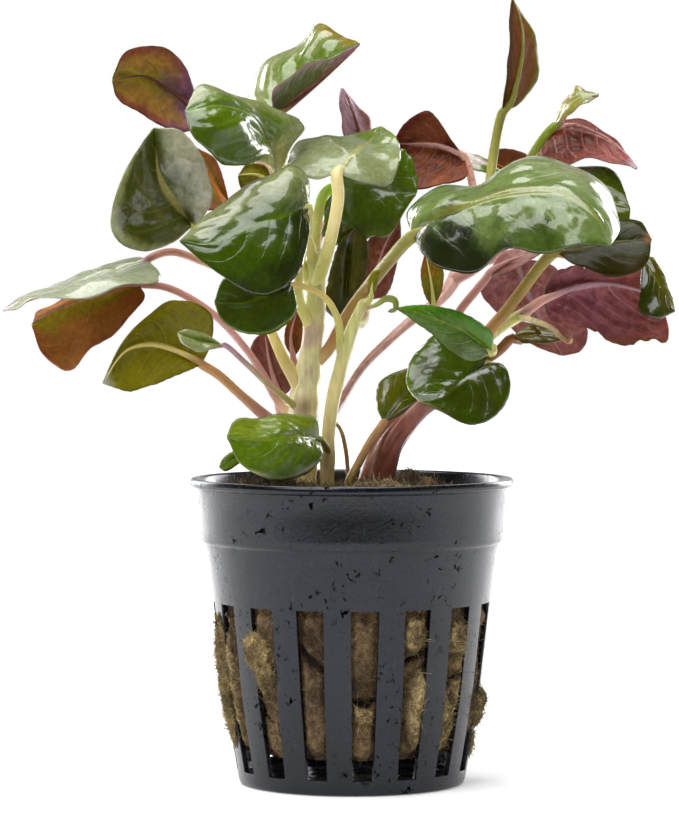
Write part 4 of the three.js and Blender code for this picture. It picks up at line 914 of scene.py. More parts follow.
# A stem is a round form with low ridges along it, and it swells at the foot of every stalk
def makeStem(node, spec):
    path = curveThrough(seen(spec["path"]))
    length = path["reach"][-1]
    even = np.linspace(0, 1, 80)
    radii = np.interp(even, np.linspace(0, 1, len(spec["widths"])), spec["widths"]) / 2
    radii = radii * spec.get("slim", 1)
    for foot in [seen(leaf["stalk"][:1])[0] for leaf in leaves.values() if leaf["bearer"] == node]:
        own = np.linalg.norm(along(path, even) - foot, axis=1).argmin()
        reach = (even - even[own]) * length
        radii = radii * (1 + stemMake["swell"] * np.exp(-(reach / stemMake["swellReach"]) ** 2))
    deep = spec.get("ridges", 1)
    ridges = lambda t, turn: (1 + stemMake["ridge"] * deep * np.sin(turn * 5 + t * 5)
                              + stemMake["fineRidge"] * deep * np.sin(turn * 9 - t * 13)
                              + stemMake["bend"] * np.sin(t * length * 0.9 + turn))
    points, faces, place = roundForm(path, radii, stemMake["sides"], stemMake["step"], ridges)
    piece = makePiece(pieceName(node), points, faces, {"place": place})
    piece.data.materials.append(stemMaterial(pieceName(node), spec))
    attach(piece, "root")
    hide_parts(node)


def stemMaterial(name, spec):
    material, tree, place, shader = newMaterial(name)
    own = put(tree, "ShaderNodeAttribute", attribute_name="place").outputs["Vector"]
    way = put(tree, "ShaderNodeSeparateXYZ", {0: own}).outputs["X"]
    foot, middle, top = (tone(s) for s in spec["shades"])
    patch = speckle(tree, place, stemMake["patches"], 4.0)
    wander = swing(tree, patch, 0.8)
    level = plus(tree, way, wander)
    colour = blend(tree, rise(tree, level, 0.0, 0.45), foot, middle)
    colour = blend(tree, rise(tree, level, 0.45, 1.0), colour, top)

    # streaks run along the stem: a noise drawn out in height
    sockets = {"Vector": place, "Scale": (1.0, 1.0, stemMake["drawnOut"])}
    drawn = put(tree, "ShaderNodeMapping", sockets).outputs[0]
    streaks = speckle(tree, drawn, stemMake["streaks"], 3.0)
    shade, amount = spec["blush"]
    blush = rise(tree, speckle(tree, drawn, stemMake["blushes"], 3.0), 0.5, 0.72, 0.0, amount)
    colour = blend(tree, blush, colour, tone(shade))

    flat = put(tree, "ShaderNodeVectorMath", {0: place, 1: (1, 0, 1)}, operation="MULTIPLY").outputs[0]
    for x, z, reach, shade in spec.get("marks", ()):
        away = put(tree, "ShaderNodeVectorMath", {0: flat, 1: (x * mm, 0, z * mm)}, operation="DISTANCE")
        near = plus(tree, away.outputs["Value"], times(tree, wander, 4 * mm))
        near = rise(tree, near, reach * mm, 0.3 * reach * mm, 0.0, 0.6)
        colour = blend(tree, near, colour, tone(shade))
    colour = shaded(tree, colour, rise(tree, streaks, 0.25, 0.75, *stemMake["streakShade"]))
    tree.links.new(colour, shader.inputs["Base Color"])
    tree.links.new(rise(tree, patch, 0.3, 0.7, *stemMake["rough"]), shader.inputs["Roughness"])
    shader.inputs["Coat Weight"].default_value = stemMake["coat"]
    shader.inputs["Coat Roughness"].default_value = stemMake["coatRough"]
    roughen(tree, shader, streaks, 0.5, stemMake["relief"])
    letThrough(tree, shader, colour, stemMake["through"])
    return material


# How every leaf is made, in millimetres: the sheet's grid step and thickness, the fewest and most
# rows along it and points from rib to edge, the groove over the rib, the side veins' number and
# bend, the margin's waves, and how far below a stalk's foot it starts inside its stem.
leafMake = {
    "grain": 0.42, "thickness": 0.36, "rows": (24, 84), "halfRow": (9, 34), "grooveWidth": 0.6,
    "pairs": 6.0, "curve": 0.42, "waves": 3.2, "turnAbout": 6.28, "stalkSides": 14,
    "stalkStep": 0.7, "foot": 3.2,
}

# How every leaf is finished. Patches, fine and wet are the scales of noises. On the underside the
# skin is painted lighter along the fine veins at a fold's edge and darker in its middle, by two shares
# here times the leaf's wrinkle: the veins' own paler colour, and painted shade of the wrinkles.
# Through is the share of light let through, and throughTint its colour.
leafLook = {
    "patches": 170.0, "fine": 1300.0, "fineShade": (0.82, 1.12), "wet": 160.0, "folds": (0.4, 0.12),
    "topRib": 0.6, "underRough": 0.42, "underCoat": 0.04, "coatRough": 0.06, "relief": 0.16,
    "through": 0.2, "throughTint": (1.7, 1.5, 0.6, 1),
}


# One edge of a blade: it leaves the base, bows out through its points and ends at the tip
def bladeEdge(ribCurve, points, lean):
    points = np.array(points, float)
    t = np.arange(1, len(points) + 1) / (len(points) + 1)
    back = along(ribCurve, t)[:, 1] / eye["fullness"] + lean * np.sin(np.pi * t) ** 0.6
    inner = seen(np.column_stack([points, back]))
    return curveThrough(np.vstack([ribCurve["points"][0], inner, ribCurve["points"][-1]]))


# Which way a blade's upper face looks: to the eye, away from it, or to the sky
def upperSide(normal, centre, shows):
    if shows == "sky":
        return np.sign(normal[2])
    toEye = np.array([eye["across"], -eye["distance"], eye["up"]]) - centre
    return np.sign(normal @ toEye) * (-1 if shows == "under" else 1)


# A blade's sheet: each row runs from one edge over the midrib to the other and bows up on both
# sides by camber * sin(pi * part). Side veins sink, the skin between them swells, and the margin
# waves by sin along it, growing with the cube of the way out. Teeth and ragged nicks move the
# margin in or out, and ripple lifts the whole sheet by a smooth random height.
def bladeSheet(spec, seed):
    ribCurve = curveThrough(seen(spec["rib"]))
    edges = [bladeEdge(ribCurve, spec[s], lean) for s, lean in zip(("left", "right"), spec["lean"])]
    rows = int(np.clip(ribCurve["reach"][-1] / leafMake["grain"], *leafMake["rows"]))
    t = np.arange(1, rows) / rows
    u = 0.7 * t + 0.15 * (1 - np.cos(np.pi * t))
    centre, heading = along(ribCurve, u), slope(ribCurve, u)
    ends = np.stack([along(e, u) for e in edges], 1)
    middle = [along(e, 0.5) for e in edges]
    facing = np.cross(slope(ribCurve, 0.5), middle[1] - middle[0])
    side = upperSide(facing, along(ribCurve, 0.5), spec["shows"])
    normal = unit(np.cross(heading, ends[:, 1] - ends[:, 0])) * side

    # v runs across from -1 to 1, and which tells the left edge from the right
    reach = np.linalg.norm(ends - centre[:, None], axis=2)
    half = int(np.clip(reach.max() / leafMake["grain"], *leafMake["halfRow"]))
    v = np.linspace(-1, 1, 2 * half + 1)
    v = np.sign(v) * np.abs(v) ** 1.15
    which = (v > 0).astype(int)
    away = np.abs(v)
    phase = np.random.default_rng(seed).random(2) * leafMake["turnAbout"]
    own = reach[:, which]
    u, arch = u[:, None], np.sin(np.pi * u)[:, None]

    line = (u - leafMake["curve"] * away ** 1.3) * leafMake["pairs"] + which * 0.5
    near = np.abs(line - np.round(line)) * 2
    inner = smooth(away, 0.02, 0.2) * (1 - away ** 5) * arch ** 0.5
    swell = (near ** 0.75 - 0.55) * inner * own * spec["swell"]
    groove = -spec["groove"] * np.exp(-(away * own / leafMake["grooveWidth"]) ** 2)
    turns = u * leafMake["waves"] * 2 * np.pi + phase[which]
    wave = spec["wave"] * own * away ** 3 * np.sin(turns) * arch ** 0.4
    bow = spec["camber"] * own * np.sin(np.pi * away)

    tooth = np.abs(((u * spec["toothCount"] + phase[which]) % 1) - 0.35)
    tooth = (0.3 - tooth) * spec["teeth"] * smooth(away, 0.75, 1) / own
    rag = noise(np.stack(np.broadcast_arrays(u * 22, v[None] * 0.4, phase[0]), -1), 1.0)
    rag = spec["ragged"] * (rag - np.abs(rag) * 0.6) * smooth(away, 0.6, 1)
    out = away * (1 + (tooth + rag) * arch ** 0.3)
    sheet = centre[:, None] + (ends[:, which] - centre[:, None]) * out[..., None]
    sheet = sheet + normal[:, None] * (bow + swell + groove + wave)[..., None]
    ripple = noise(sheet, 0.13) + 0.3 * noise(sheet + 40, 0.3) + 0.12 * noise(sheet + 80, 0.9)
    sheet = sheet + normal[:, None] * (ripple * spec["ripple"] * inner)[..., None]

    # both faces, as rings that go out over the upper one and come back under it
    square = unit(np.cross(np.gradient(sheet, axis=0), np.gradient(sheet, axis=1)))
    square = square * np.sign((square * normal[:, None]).sum(-1, keepdims=True).mean())
    thick = leafMake["thickness"] / 2 * np.sqrt(1 - away ** 6)[None, :, None]
    back = slice(len(v) - 2, 0, -1)
    rings = np.concatenate([sheet + square * thick, (sheet - square * thick)[:, back]], 1)
    upper = np.concatenate([np.ones(len(v)), np.zeros(len(v) - 2)])
    upper[[0, len(v) - 1]] = 0.5
    across = np.concatenate([v, v[back]])
    place = np.stack(np.broadcast_arrays(u, across[None], upper[None]), -1).reshape(-1, 3)
    place = np.vstack([place, [[0, 0, 0.5], [1, 0, 0.5]]])
    points = np.vstack([rings.reshape(-1, 3), ribCurve["points"][0], ribCurve["points"][-1]])
    values = {"place": place, "blade": np.ones(len(points))}
    surface = {"points": points, "faces": ringFaces(rows - 1, rings.shape[1]), "values": values}
    return surface, ribCurve, (u[:, 0], normal)


# A point inside the stem that bears a leaf, a little below the leaf's foot
def stemFoot(bearer, foot):
    path = curveThrough(seen(stems[bearer]["path"]))
    even = np.linspace(0, 1, 400)
    own = even[np.linalg.norm(along(path, even) - foot, axis=1).argmin()]
    return along(path, max(own - leafMake["foot"] / path["reach"][-1], 0))


# The stalk runs on as the midrib, which stands out under the blade and thins to the tip. Its radii
# are given at its foot inside the stem, at each of its own points, and at places along the blade.
def stalkForm(spec, ribCurve, rows):
    u, normal = rows
    thick, thin = spec["width"]
    onStalk = len(spec["stalk"])
    ahead = np.array([0.1, 0.28, 0.46, 0.64, 0.8, 0.93])
    shrink = thin * 0.5 * np.array([0.72, 0.5, 0.36, 0.26, 0.18, 0.12])
    radii = np.array([thick * 0.45, thick * 0.58, thick * 0.5] + [thin * 0.5] * (onStalk - 1))
    sink = np.stack([np.interp(ahead, u, normal[:, i]) for i in range(3)], -1)
    below = along(ribCurve, ahead) - sink * (shrink + 0.22)[:, None]
    foot = stemFoot(spec["bearer"], seen(spec["stalk"][:1])[0])
    path = curveThrough(np.vstack([foot, seen(spec["stalk"]), ribCurve["points"][0], below]))
    knots = np.arange(onStalk + 2 + len(ahead))
    reach = path["reach"][knots * curveSteps]
    radii = np.concatenate([radii, shrink])[:len(knots)]
    even = np.interp(np.linspace(0, 1, 60), reach / reach[-1], radii)
    uneven = lambda t, turn: 1 + 0.05 * np.sin(turn * 3 + t * 9) + 0.03 * np.sin(turn * 5 - t * 14)
    points, faces, place = roundForm(path, even, leafMake["stalkSides"], leafMake["stalkStep"], uneven)
    # from 0 to 1 along the stalk, and from 1 to 2 along the blade
    base = reach[onStalk + 1] / reach[-1]
    way = place[:, 0]
    place[:, 0] = np.where(way > base, 1 + (way - base) / (1 - base), way / base)
    return {"points": points, "faces": faces, "values": {"place": place, "blade": np.zeros(len(points))}}


def leafMaterial(name, spec):
    material, tree, place, shader = newMaterial(name)
    leafPlace = put(tree, "ShaderNodeAttribute", attribute_name="place").outputs["Vector"]
    blade = put(tree, "ShaderNodeAttribute", attribute_name="blade").outputs["Fac"]
    marks = useGroup(tree, veinGroup, {"Place": leafPlace, "Object": place, "Pairs": leafMake["pairs"],
                                       "Curve": leafMake["curve"], "Wide": spec["ribWide"]})
    upper, veins, rib = marks["Upper"], marks["Veins"], marks["Rib"]
    patch = speckle(tree, place, leafLook["patches"], 4.0)
    fine = speckle(tree, place, leafLook["fine"], 3.0)
    mottle = swing(tree, patch, 0.9)
    topVein, underVein = (tone(v) for v in spec["veins"])
    top = layered(tree, marks["Spread"], mottle, spec["top"])
    top = blend(tree, times(tree, veins, spec["topVeins"]), top, topVein)
    top = blend(tree, times(tree, rib, leafLook["topRib"]), top, topVein)
    under = layered(tree, marks["Spread"], mottle, spec["under"])
    under = blend(tree, times(tree, veins, spec["underVeins"]), under, underVein)
    under = blend(tree, rib, under, underVein)
    wrinkle = spec["wrinkle"]
    # painted shade of the underside's wrinkles: darker in each fold's middle, lighter along its veins
    pale, dark = leafLook["folds"]
    folds = blendNumber(tree, marks["Quilt"], 1 + pale * wrinkle, 1 - dark * wrinkle)
    folds = blendNumber(tree, upper, folds, 1.0)
    colour = blend(tree, upper, under, top)
    lightened = rise(tree, fine, 0.3, 0.75, *leafLook["fineShade"])
    colour = shaded(tree, colour, times(tree, lightened, folds))

    # the stalk: its stem's shade at the foot, then its own to the blade, then on as the midrib
    way = put(tree, "ShaderNodeSeparateXYZ", {0: leafPlace}).outputs["X"]
    start, stop = (tone(v) for v in spec["stem"])
    stalk = blend(tree, rise(tree, plus(tree, way, swing(tree, patch, 0.7)), 0.15, 0.95), start, stop)
    stalk = blend(tree, rise(tree, way, 0.05, 0.28), tone(stems[spec["bearer"]]["shades"][1]), stalk)
    stalk = blend(tree, rise(tree, way, 1.0, 1.25), stalk, underVein)
    colour = blend(tree, blade, stalk, colour)
    tree.links.new(colour, shader.inputs["Base Color"])

    wet = rise(tree, speckle(tree, place, leafLook["wet"], 3.0), 0.38, 0.62)
    rough = blendNumber(tree, wet, spec["gloss"] * 0.7, spec["gloss"] + 0.1)
    rough = blendNumber(tree, upper, leafLook["underRough"], rough)
    coat = blendNumber(tree, upper, leafLook["underCoat"], spec["coat"])
    tree.links.new(rough, shader.inputs["Roughness"])
    tree.links.new(coat, shader.inputs["Coat Weight"])
    shader.inputs["Coat Roughness"].default_value = leafLook["coatRough"]
    shader.inputs["Specular IOR Level"].default_value = spec["shine"]

    sunk = times(tree, veins, blendNumber(tree, upper, -0.8, -0.35))
    height = plus(tree, times(tree, marks["Net"], -0.1), sunk)
    height = plus(tree, height, times(tree, fine, 0.6))
    pressed = blendNumber(tree, upper, -3.0 * wrinkle, 0.0)
    height = plus(tree, height, times(tree, marks["Quilt"], pressed))
    roughen(tree, shader, height, 0.6, leafLook["relief"])
    letThrough(tree, shader, tinted(tree, colour, leafLook["throughTint"]), leafLook["through"])
    return material


def makeLeaf(node, spec, seed):
    spec = {**leafPlain, **leafFaces[spec.get("shows", leafPlain["shows"])], **spec}
    sheet, ribCurve, rows = bladeSheet(spec, seed)
    points, faces, values = joined([sheet, stalkForm(spec, ribCurve, rows)])
    leaf = makePiece(pieceName(node), points, faces, values)
    leaf.data.materials.append(leafMaterial(pieceName(node), spec))
    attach(leaf, "root")
    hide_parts(node)


for node, spec in stems.items():
    makeStem(node, spec)
print("stems made:", len(stems))

for seed, (node, spec) in enumerate(leaves.items()):
    makeLeaf(node, spec, seed)
print("leaves made:", len(leaves))


# The pot's sizes in millimetres, as the solid has them. A row of the wall gives the outer face's
# radius and height, then the inner face's.
pot = {
    "slots": 16, "phase": -84.9, "slotBottom": 2.5, "slotTop": 30, "slotTopWidth": 4.6,
    "slotBottomWidth": 3.4, "wall": 0.9, "floor": 1.3, "hole": (8.0, 15.4), "holeHalf": 0.185,
    "floorRings": (3.0, 5.5, 8.0, 10.5, 13.0, 15.4, 16.6),
    "foot": [(17.7, 0, 17.0, 1.3), (18.35, 0.2, 17.4, 1.3), (18.6, 0.9, 17.65, 1.4)],
    "wallHeights": (1.7, 2.5, 5, 8, 11, 14, 17, 20, 23, 26, 28, 30, 31.5, 33, 35, 37, 38.6),
    "wallProfile": ((0.9, 15, 30, 39.3), (18.6, 21.1, 22.8, 24.0)),
    "collar": [
        (24.06, 39.3, 23.2, 39.3), (24.3, 39.6, 23.3, 39.7), (24.66, 39.85, 23.6, 40.3),
        (24.8, 40.3, 23.85, 40.9), (24.85, 41.2, 23.95, 41.5), (25.05, 44.5, 24.15, 44.5),
        (25.25, 47.8, 24.4, 47.6), (25.4, 48.45, 24.5, 48.3), (26.1, 48.62, 24.6, 48.9),
        (26.42, 48.85, 24.75, 49.3), (26.5, 49.3, 24.9, 49.65), (26.45, 49.75, 25.1, 49.9),
        (26.2, 50, 25.4, 50),
    ],
}


potSector = 2 * np.pi / pot["slots"]


def wallRadius(height):
    return np.interp(height, *pot["wallProfile"])


# The angle from the middle of the nearest slot
def fromSlot(turn):
    offset = turn - np.radians(pot["phase"])
    return np.abs(offset - np.round(offset / potSector) * potSector)


# Half the angle of a slot at a height: its width narrows evenly towards the foot
def slotHalf(height, radius):
    at = np.clip((height - pot["slotBottom"]) / (pot["slotTop"] - pot["slotBottom"]), 0, 1)
    return (pot["slotBottomWidth"] * (1 - at) + pot["slotTopWidth"] * at) / 2 / radius


# The pot is a shell turned round its axis: a row is a ring at one place of the profile, and the
# columns follow the slots' slanting sides. Cells in slots and floor holes are left out, and every
# edge between a kept cell and a left-out one gets a face through the wall.
def potShell():
    rings = [(r, 0, r, pot["floor"]) for r in pot["floorRings"]] + pot["foot"]
    rings += [(wallRadius(h), h, wallRadius(h) - pot["wall"], h) for h in pot["wallHeights"]]
    rings = np.array(rings + pot["collar"], float)
    count = len(rings)
    radius, height = rings[:, 0], rings[:, 1]
    onFloor = np.arange(count) < len(pot["floorRings"])
    odd = np.arange(pot["slots"]) % 2 == 1
    half = slotHalf(height, np.maximum(radius, 12))
    half = np.where(onFloor[:, None] & odd, pot["holeHalf"], half[:, None])
    # beside is a line just outside a slot's side, and it stays short of the middle of the rib
    beside = np.minimum(half * 1.08, half * 0.6 + potSector * 0.2)
    between = (half + potSector / 2) / 2
    steps = [0 * half - potSector / 2, -between, -beside, -half, -half / 2, 0 * half,
             half / 2, half, beside, between]
    perSlot = len(steps)
    turn = np.radians(pot["phase"]) + np.arange(pot["slots"])[:, None] * potSector + np.stack(steps, -1)
    turn = turn.reshape(count, -1)
    columns = turn.shape[1]
    outer = polar(rings[:, 0, None], turn, rings[:, 1, None])
    inner = polar(rings[:, 2, None], turn, rings[:, 3, None])
    points = np.vstack([outer.reshape(-1, 3), inner.reshape(-1, 3), [[0, 0, 0], [0, 0, pot["floor"]]]])

    # the four cells between the sides of a slot or a hole, counted from the middle of the rib
    column = np.arange(columns) % perSlot
    inSlot = (column >= 3) & (column < 7)
    middle = (height[1:] + height[:-1]) / 2
    slotted = (middle > pot["slotBottom"]) & (middle < pot["slotTop"]) & ~onFloor[1:]
    holed = onFloor[1:] & (radius[1:] > pot["hole"][0]) & (radius[1:] <= pot["hole"][1])
    keep = ~(slotted[:, None] & inSlot) & ~(holed[:, None] & inSlot & np.repeat(odd, perSlot))

    # a and b are neighbours on the outer face, c and d the same two on the inner one
    a = np.arange(count * columns).reshape(count, columns)
    b = np.roll(a, -1, 1)
    c = a + count * columns
    d = b + count * columns
    faces = [np.stack([a[:-1], b[:-1], b[1:], a[1:]], -1)[keep]]
    faces.append(np.stack([c[:-1], c[1:], d[1:], d[:-1]], -1)[keep])
    before = np.roll(keep, 1, 1)
    upright = np.stack([a[:-1], a[1:], c[1:], c[:-1]], -1)
    faces += [upright[keep & ~before], upright[~keep & before][:, ::-1]]
    level = np.stack([b[1:-1], a[1:-1], c[1:-1], d[1:-1]], -1)
    faces += [level[keep[1:] & ~keep[:-1]], level[~keep[1:] & keep[:-1]][:, ::-1]]
    faces.append(np.stack([a[-1], b[-1], d[-1], c[-1]], -1))
    centre = count * columns * 2
    faces.append(np.stack([a[0] * 0 + centre, b[0], a[0], a[0]], -1))
    faces.append(np.stack([a[0] * 0 + centre + 1, c[0], d[0], d[0]], -1))
    return points, np.vstack(faces)


# The scales of the noises that wear is made of, and how far its lines are drawn out
wearScales = {
    "rubbed": 60.0, "flecks": 760.0, "fleckedPlaces": 130.0, "grain": 1900.0, "lines": 1500.0,
    "drawnOut": 0.12,
}


# Scuffs and dust that gather on moulded plastic: pale rubbed patches, dark flecks and fine lines
def makeWearGroup():
    group, given = newGroup(
        "plasticWear", [("Object", "Vector"), ("Size", "Float")],
        [("Rubbed", "Float"), ("Flecks", "Float"), ("Lines", "Float"), ("Grain", "Float")])
    place = put(group, "ShaderNodeVectorMath", {0: given["Object"], "Scale": given["Size"]},
                operation="SCALE").outputs[0]
    flecks = rise(group, speckle(group, place, wearScales["flecks"], 3.0, 0.6, 0.5), 0.59, 0.64)
    near = rise(group, speckle(group, place, wearScales["fleckedPlaces"], 2.0), 0.46, 0.6)
    drawn = put(group, "ShaderNodeMapping", {"Vector": place, "Rotation": (0.2, 0.5, 0.1),
                                             "Scale": (1.0, 1.0, wearScales["drawnOut"])}).outputs[0]
    return giveOut(group, {
        "Rubbed": rise(group, speckle(group, place, wearScales["rubbed"], 5.0, 0.65), 0.42, 0.7),
        "Flecks": times(group, flecks, near),
        "Grain": speckle(group, place, wearScales["grain"], 3.0),
        "Lines": rise(group, speckle(group, drawn, wearScales["lines"], 1.0), 0.7, 0.78)})


# The pot's finish: its edges are rounded by edge millimetres where they turn by more than edgeAngle
potLook = {
    "plastic": "#0a0b0f", "rubbed": "#14161b", "fleck": "#030303", "line": "#6a6c70", "sheen": "#eceffa",
    "roughness": 0.17, "shine": 0.42, "relief": 0.1, "edge": 0.22, "edgeAngle": 42,
}


def potMaterial():
    material, tree, place, shader = newMaterial("potPlastic")
    wear = useGroup(tree, makeWearGroup(), {"Object": place, "Size": 1.0})
    colour = blend(tree, wear["Rubbed"], tone(potLook["plastic"]), tone(potLook["rubbed"]))
    colour = blend(tree, times(tree, wear["Lines"], 0.08), colour, tone(potLook["line"]))
    colour = blend(tree, wear["Flecks"], colour, tone(potLook["fleck"]))
    tree.links.new(colour, shader.inputs["Base Color"])
    # a near-black metal reflects almost nothing, so the flecks stay dark in the plastic's sheen
    tree.links.new(wear["Flecks"], shader.inputs["Metallic"])
    shader.inputs["Specular IOR Level"].default_value = potLook["shine"]
    shader.inputs["Specular Tint"].default_value = tone(potLook["sheen"])
    rough = rise(tree, wear["Grain"], 0.3, 0.7, potLook["roughness"], potLook["roughness"] + 0.1)
    rough = plus(tree, times(tree, wear["Rubbed"], 0.13), rough)
    tree.links.new(rough, shader.inputs["Roughness"])
    height = plus(tree, times(tree, wear["Grain"], 0.5), wear["Flecks"])
    roughen(tree, shader, height, 0.3, potLook["relief"])
    return material


def makePot():
    points, faces = potShell()
    piece = makePiece("netPot", points, faces)
    soft = piece.modifiers.new("softEdges", "BEVEL")
    soft.width = potLook["edge"] * mm
    soft.segments = 2
    soft.limit_method = "ANGLE"
    soft.angle_limit = math.radians(potLook["edgeAngle"])
    soft.harden_normals = False
    piece.data.materials.append(potMaterial())
    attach(piece, "root")
    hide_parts("pot")


makePot()
print("pot made")


# The wool's sizes in millimetres: it fills the pot inside the ribs and swells into the slots.
# A clump gives its turn in degrees, height, half width in degrees, half height and how far it
# stands out. A crack gives its turn, height, half width and how much it climbs per degree. A lump
# on top gives its place across and back, its reach and its height. A tuft is laid out as a clump
# is, and lies over the ribs. Fibres are counted, and their lengths and widths lie in a range.
wool = {
    "bottom": 5.6, "top": 48.9, "shoulder": 46.2, "clearance": 0.3, "bulge": 0.9,
    "rows": 230, "columns": 400, "sideShare": 0.72,
    "clumps": [(-58, 14, 7, 7.5, 1.7), (-136, 20, 7, 6, 1.5), (-13, 12.5, 6, 4, 1.1), (-34, 19, 6, 9, 1.0),
               (-158, 17, 6, 11, 1.0), (-64, 26, 5, 3.5, 0.7), (-168, 5.5, 5, 2.4, 1.8),
               (-84, 13.2, 7, 1.7, 0.7), (-39, 25, 6, 3.5, 0.7), (-42, 11, 6, 5, 0.8)],
    "hiddenClumps": 9,
    "cracks": [(-84, 15.2, 8, 0.02), (-108, 21.5, 9, -0.3), (-40, 18.5, 7, 0.35), (-136, 13, 7, -0.2),
               (-61, 23, 7, 0.1)],
    "hiddenCracks": 10, "crackDepth": 1.6, "crackWidth": 0.55,
    "lumps": [(-14, -11, 7, 2.6), (9.5, -5, 4, 2.8), (13, -7, 2.6, 1.8), (4, -12, 6, 1.0)],
    "tufts": [(-164, 17.5, 7.5, 10.5, 0.6), (-134, 23, 6.5, 3.2, 0.8), (-129.5, 19.4, 4.5, 2.2, 0.8),
              (-12, 12.8, 5, 3.2, 1.1), (-10, 6.8, 3, 2.2, 0.4)],
    "tuftTurns": 48, "fibres": 13500, "topFibres": 5200, "tuftFibres": 3600,
    "fibreLength": (0.9, 3.4), "fibreWidth": (0.07, 0.15), "fibreSteps": 3, "fibreSides": 3,
    "fibreLift": 1.4, "topLift": 1.4, "topReach": (21.5, 22.3), "fibreTop": 44,
}


# The places named above, and others at random on the sides that the photograph doesn't show
def woolPlaces(key, hidden, low, high):
    rng = np.random.default_rng(len(key))
    return np.vstack([wool[key], rng.uniform(low, high, (wool[hidden], len(low)))])


clumps = woolPlaces("clumps", "hiddenClumps", (15, 8, 5, 4, 0.5), (165, 24, 8, 8, 1.2))
cracks = woolPlaces("cracks", "hiddenCracks", (10, 9, 6, -0.3), (170, 27, 10, 0.3))


def degreesFrom(turn, centre):
    return (np.degrees(turn) - centre + 180) % 360 - 180


# How far out in each clump a place on the side lies, nought at its middle and one at its edge, and
# how far the clump stands out
def clumpShares(turn, height, frayed):
    for centre, level, wide, tall, lift in clumps:
        gap = np.hypot(degreesFrom(turn, centre) / wide, (height - level + frayed) / tall)
        yield gap, lift


# How much of each crack lies at a place on the side, given as the place and its rough edge
def crackShare(turn, height, frayed):
    for centre, level, reach, climb in cracks:
        away = degreesFrom(turn, centre)
        gap = height + frayed - level - climb * away
        yield np.exp(-(gap / wool["crackWidth"]) ** 2) * smooth(np.abs(away), reach, reach / 2)


# How far a rough edge strays at a place
def frayedBy(p):
    return 0.9 * noise(p + 31, 0.5) + 0.4 * noise(p + 77, 1.4)


# The plug's side at an angle and a height: the pot's inner wall less a clearance, sunk in broad
# hollows and along cracks, and swollen by the slots, where the wool isn't held back
def woolRadius(turn, height):
    outside = wallRadius(height)
    opened = smooth(fromSlot(turn) / slotHalf(height, outside), 0.98, 0.6)
    free = opened * smooth(height, 2.8, 5) * smooth(height, 29.8, 28)
    p = polar(outside, turn, height)
    sunk = 1.3 * smooth(noise(p, 0.1), 0.05, 0.7) + 0.5 * smooth(noise(p + 50, 0.3), 0.1, 0.8)
    frayed = frayedBy(p)
    for share in crackShare(turn, height, frayed):
        sunk = sunk + wool["crackDepth"] * share
    out = wool["bulge"] * (0.35 + 0.65 * smooth(noise(p + 12, 0.16), -0.4, 0.5))
    for gap, lift in clumpShares(turn, height, frayed):
        out = out + lift * smooth(gap, 1.0, 0.6)
        sunk = sunk * smooth(gap, 0.5, 1.0)
    fluff = 0.14 * noise(p, 1.7) + 0.12 * noise(p + 9, 3.3) + 0.07 * noise(p + 44, 6.0)
    foot = 1.8 * smooth(height, wool["bottom"] + 3, wool["bottom"]) ** 2
    head = smooth(height, 42, 46) ** 2
    base = outside - pot["wall"] - wool["clearance"] - sunk
    return base + out * free + fluff * (0.5 + 0.5 * free) - foot - head


# The top of the plug: a rough surface that dips to the back and the right, with the lumps that show
# at the rim
def woolTop(turn, reach):
    p = polar(reach, turn, 0.0)
    x, y = p[..., 0], p[..., 1]
    dip = 2.2 * smooth(y, 2, 20) + 1.8 * smooth(x - 0.3 * y, 13, 19)
    top = wool["top"] - dip + 0.7 * roughness(p, 0.3) + 0.25 * noise(p, 2.2)
    for across, back, wide, tall in wool["lumps"]:
        gap = np.hypot(x - across, y - back) / wide + 0.25 * noise(p + 20, 0.4)
        top = top + tall * smooth(gap, 1.0, 0.15)
    return top - 0.8 * smooth(reach, 17, 23)


# The whole plug: rows climb its side, go over the shoulder and run in to the middle of its top.
# The value at a point is how pale it is: up to 1 on a clump, and below nought in a crack, where it
# paints shade.
def woolSurface():
    turn = np.arange(wool["columns"])[None] / wool["columns"] * 2 * np.pi
    up = np.linspace(0, 1, wool["rows"])[:, None]
    onSide = up[:, 0] < wool["sideShare"]
    climbed = up[onSide] / wool["sideShare"]
    height = wool["bottom"] + (wool["shoulder"] - wool["bottom"]) * climbed + 0 * turn
    radius = woolRadius(turn, height)
    out = (1 - up[~onSide][:-1]) / (1 - wool["sideShare"]) * 0.995
    reach = out * radius[-1]
    edge = smooth(out, 0.9, 1.0)
    top = woolTop(turn, reach) * (1 - edge) + wool["shoulder"] * edge
    radius, height = np.vstack([radius, reach]), np.vstack([height, top])
    points = polar(radius, turn, height)
    under, centre = points[0].mean(0) + [0, 0, 0.3], points[-1].mean(0)

    pale = sum(smooth(gap, 1.1, 0.5) for gap, _ in clumpShares(turn, height, 0))
    # how far a place lies in a crack, for the painted shade there
    frayed = frayedBy(polar(wallRadius(height), turn, height))
    dark = sum(crackShare(turn, height, frayed)) * (height < wool["shoulder"])
    values = np.append((np.clip(pale, 0, 1) - 2 * np.clip(dark, 0, 1)).ravel(), [0, 0])
    faces = ringFaces(len(points), wool["columns"])
    return np.vstack([points.reshape(-1, 3), under, centre]), faces, {"tuft": values}


# The outer face of a tuft: a dome over the pot's wall, rough, and level with the wall at its edge
def tuftRadius(tuft, turn, height):
    centre, level, wide, tall, lift = tuft
    gap = np.hypot(degreesFrom(turn, centre) / wide, (height - level) / tall)
    p = polar(22, turn, height)
    dome = np.sqrt(np.clip(1 - gap ** 2, 0, 1))
    return wallRadius(height) + 0.1 + dome * (lift + 0.3 * noise(p, 0.6) + 0.2 * noise(p, 1.9))


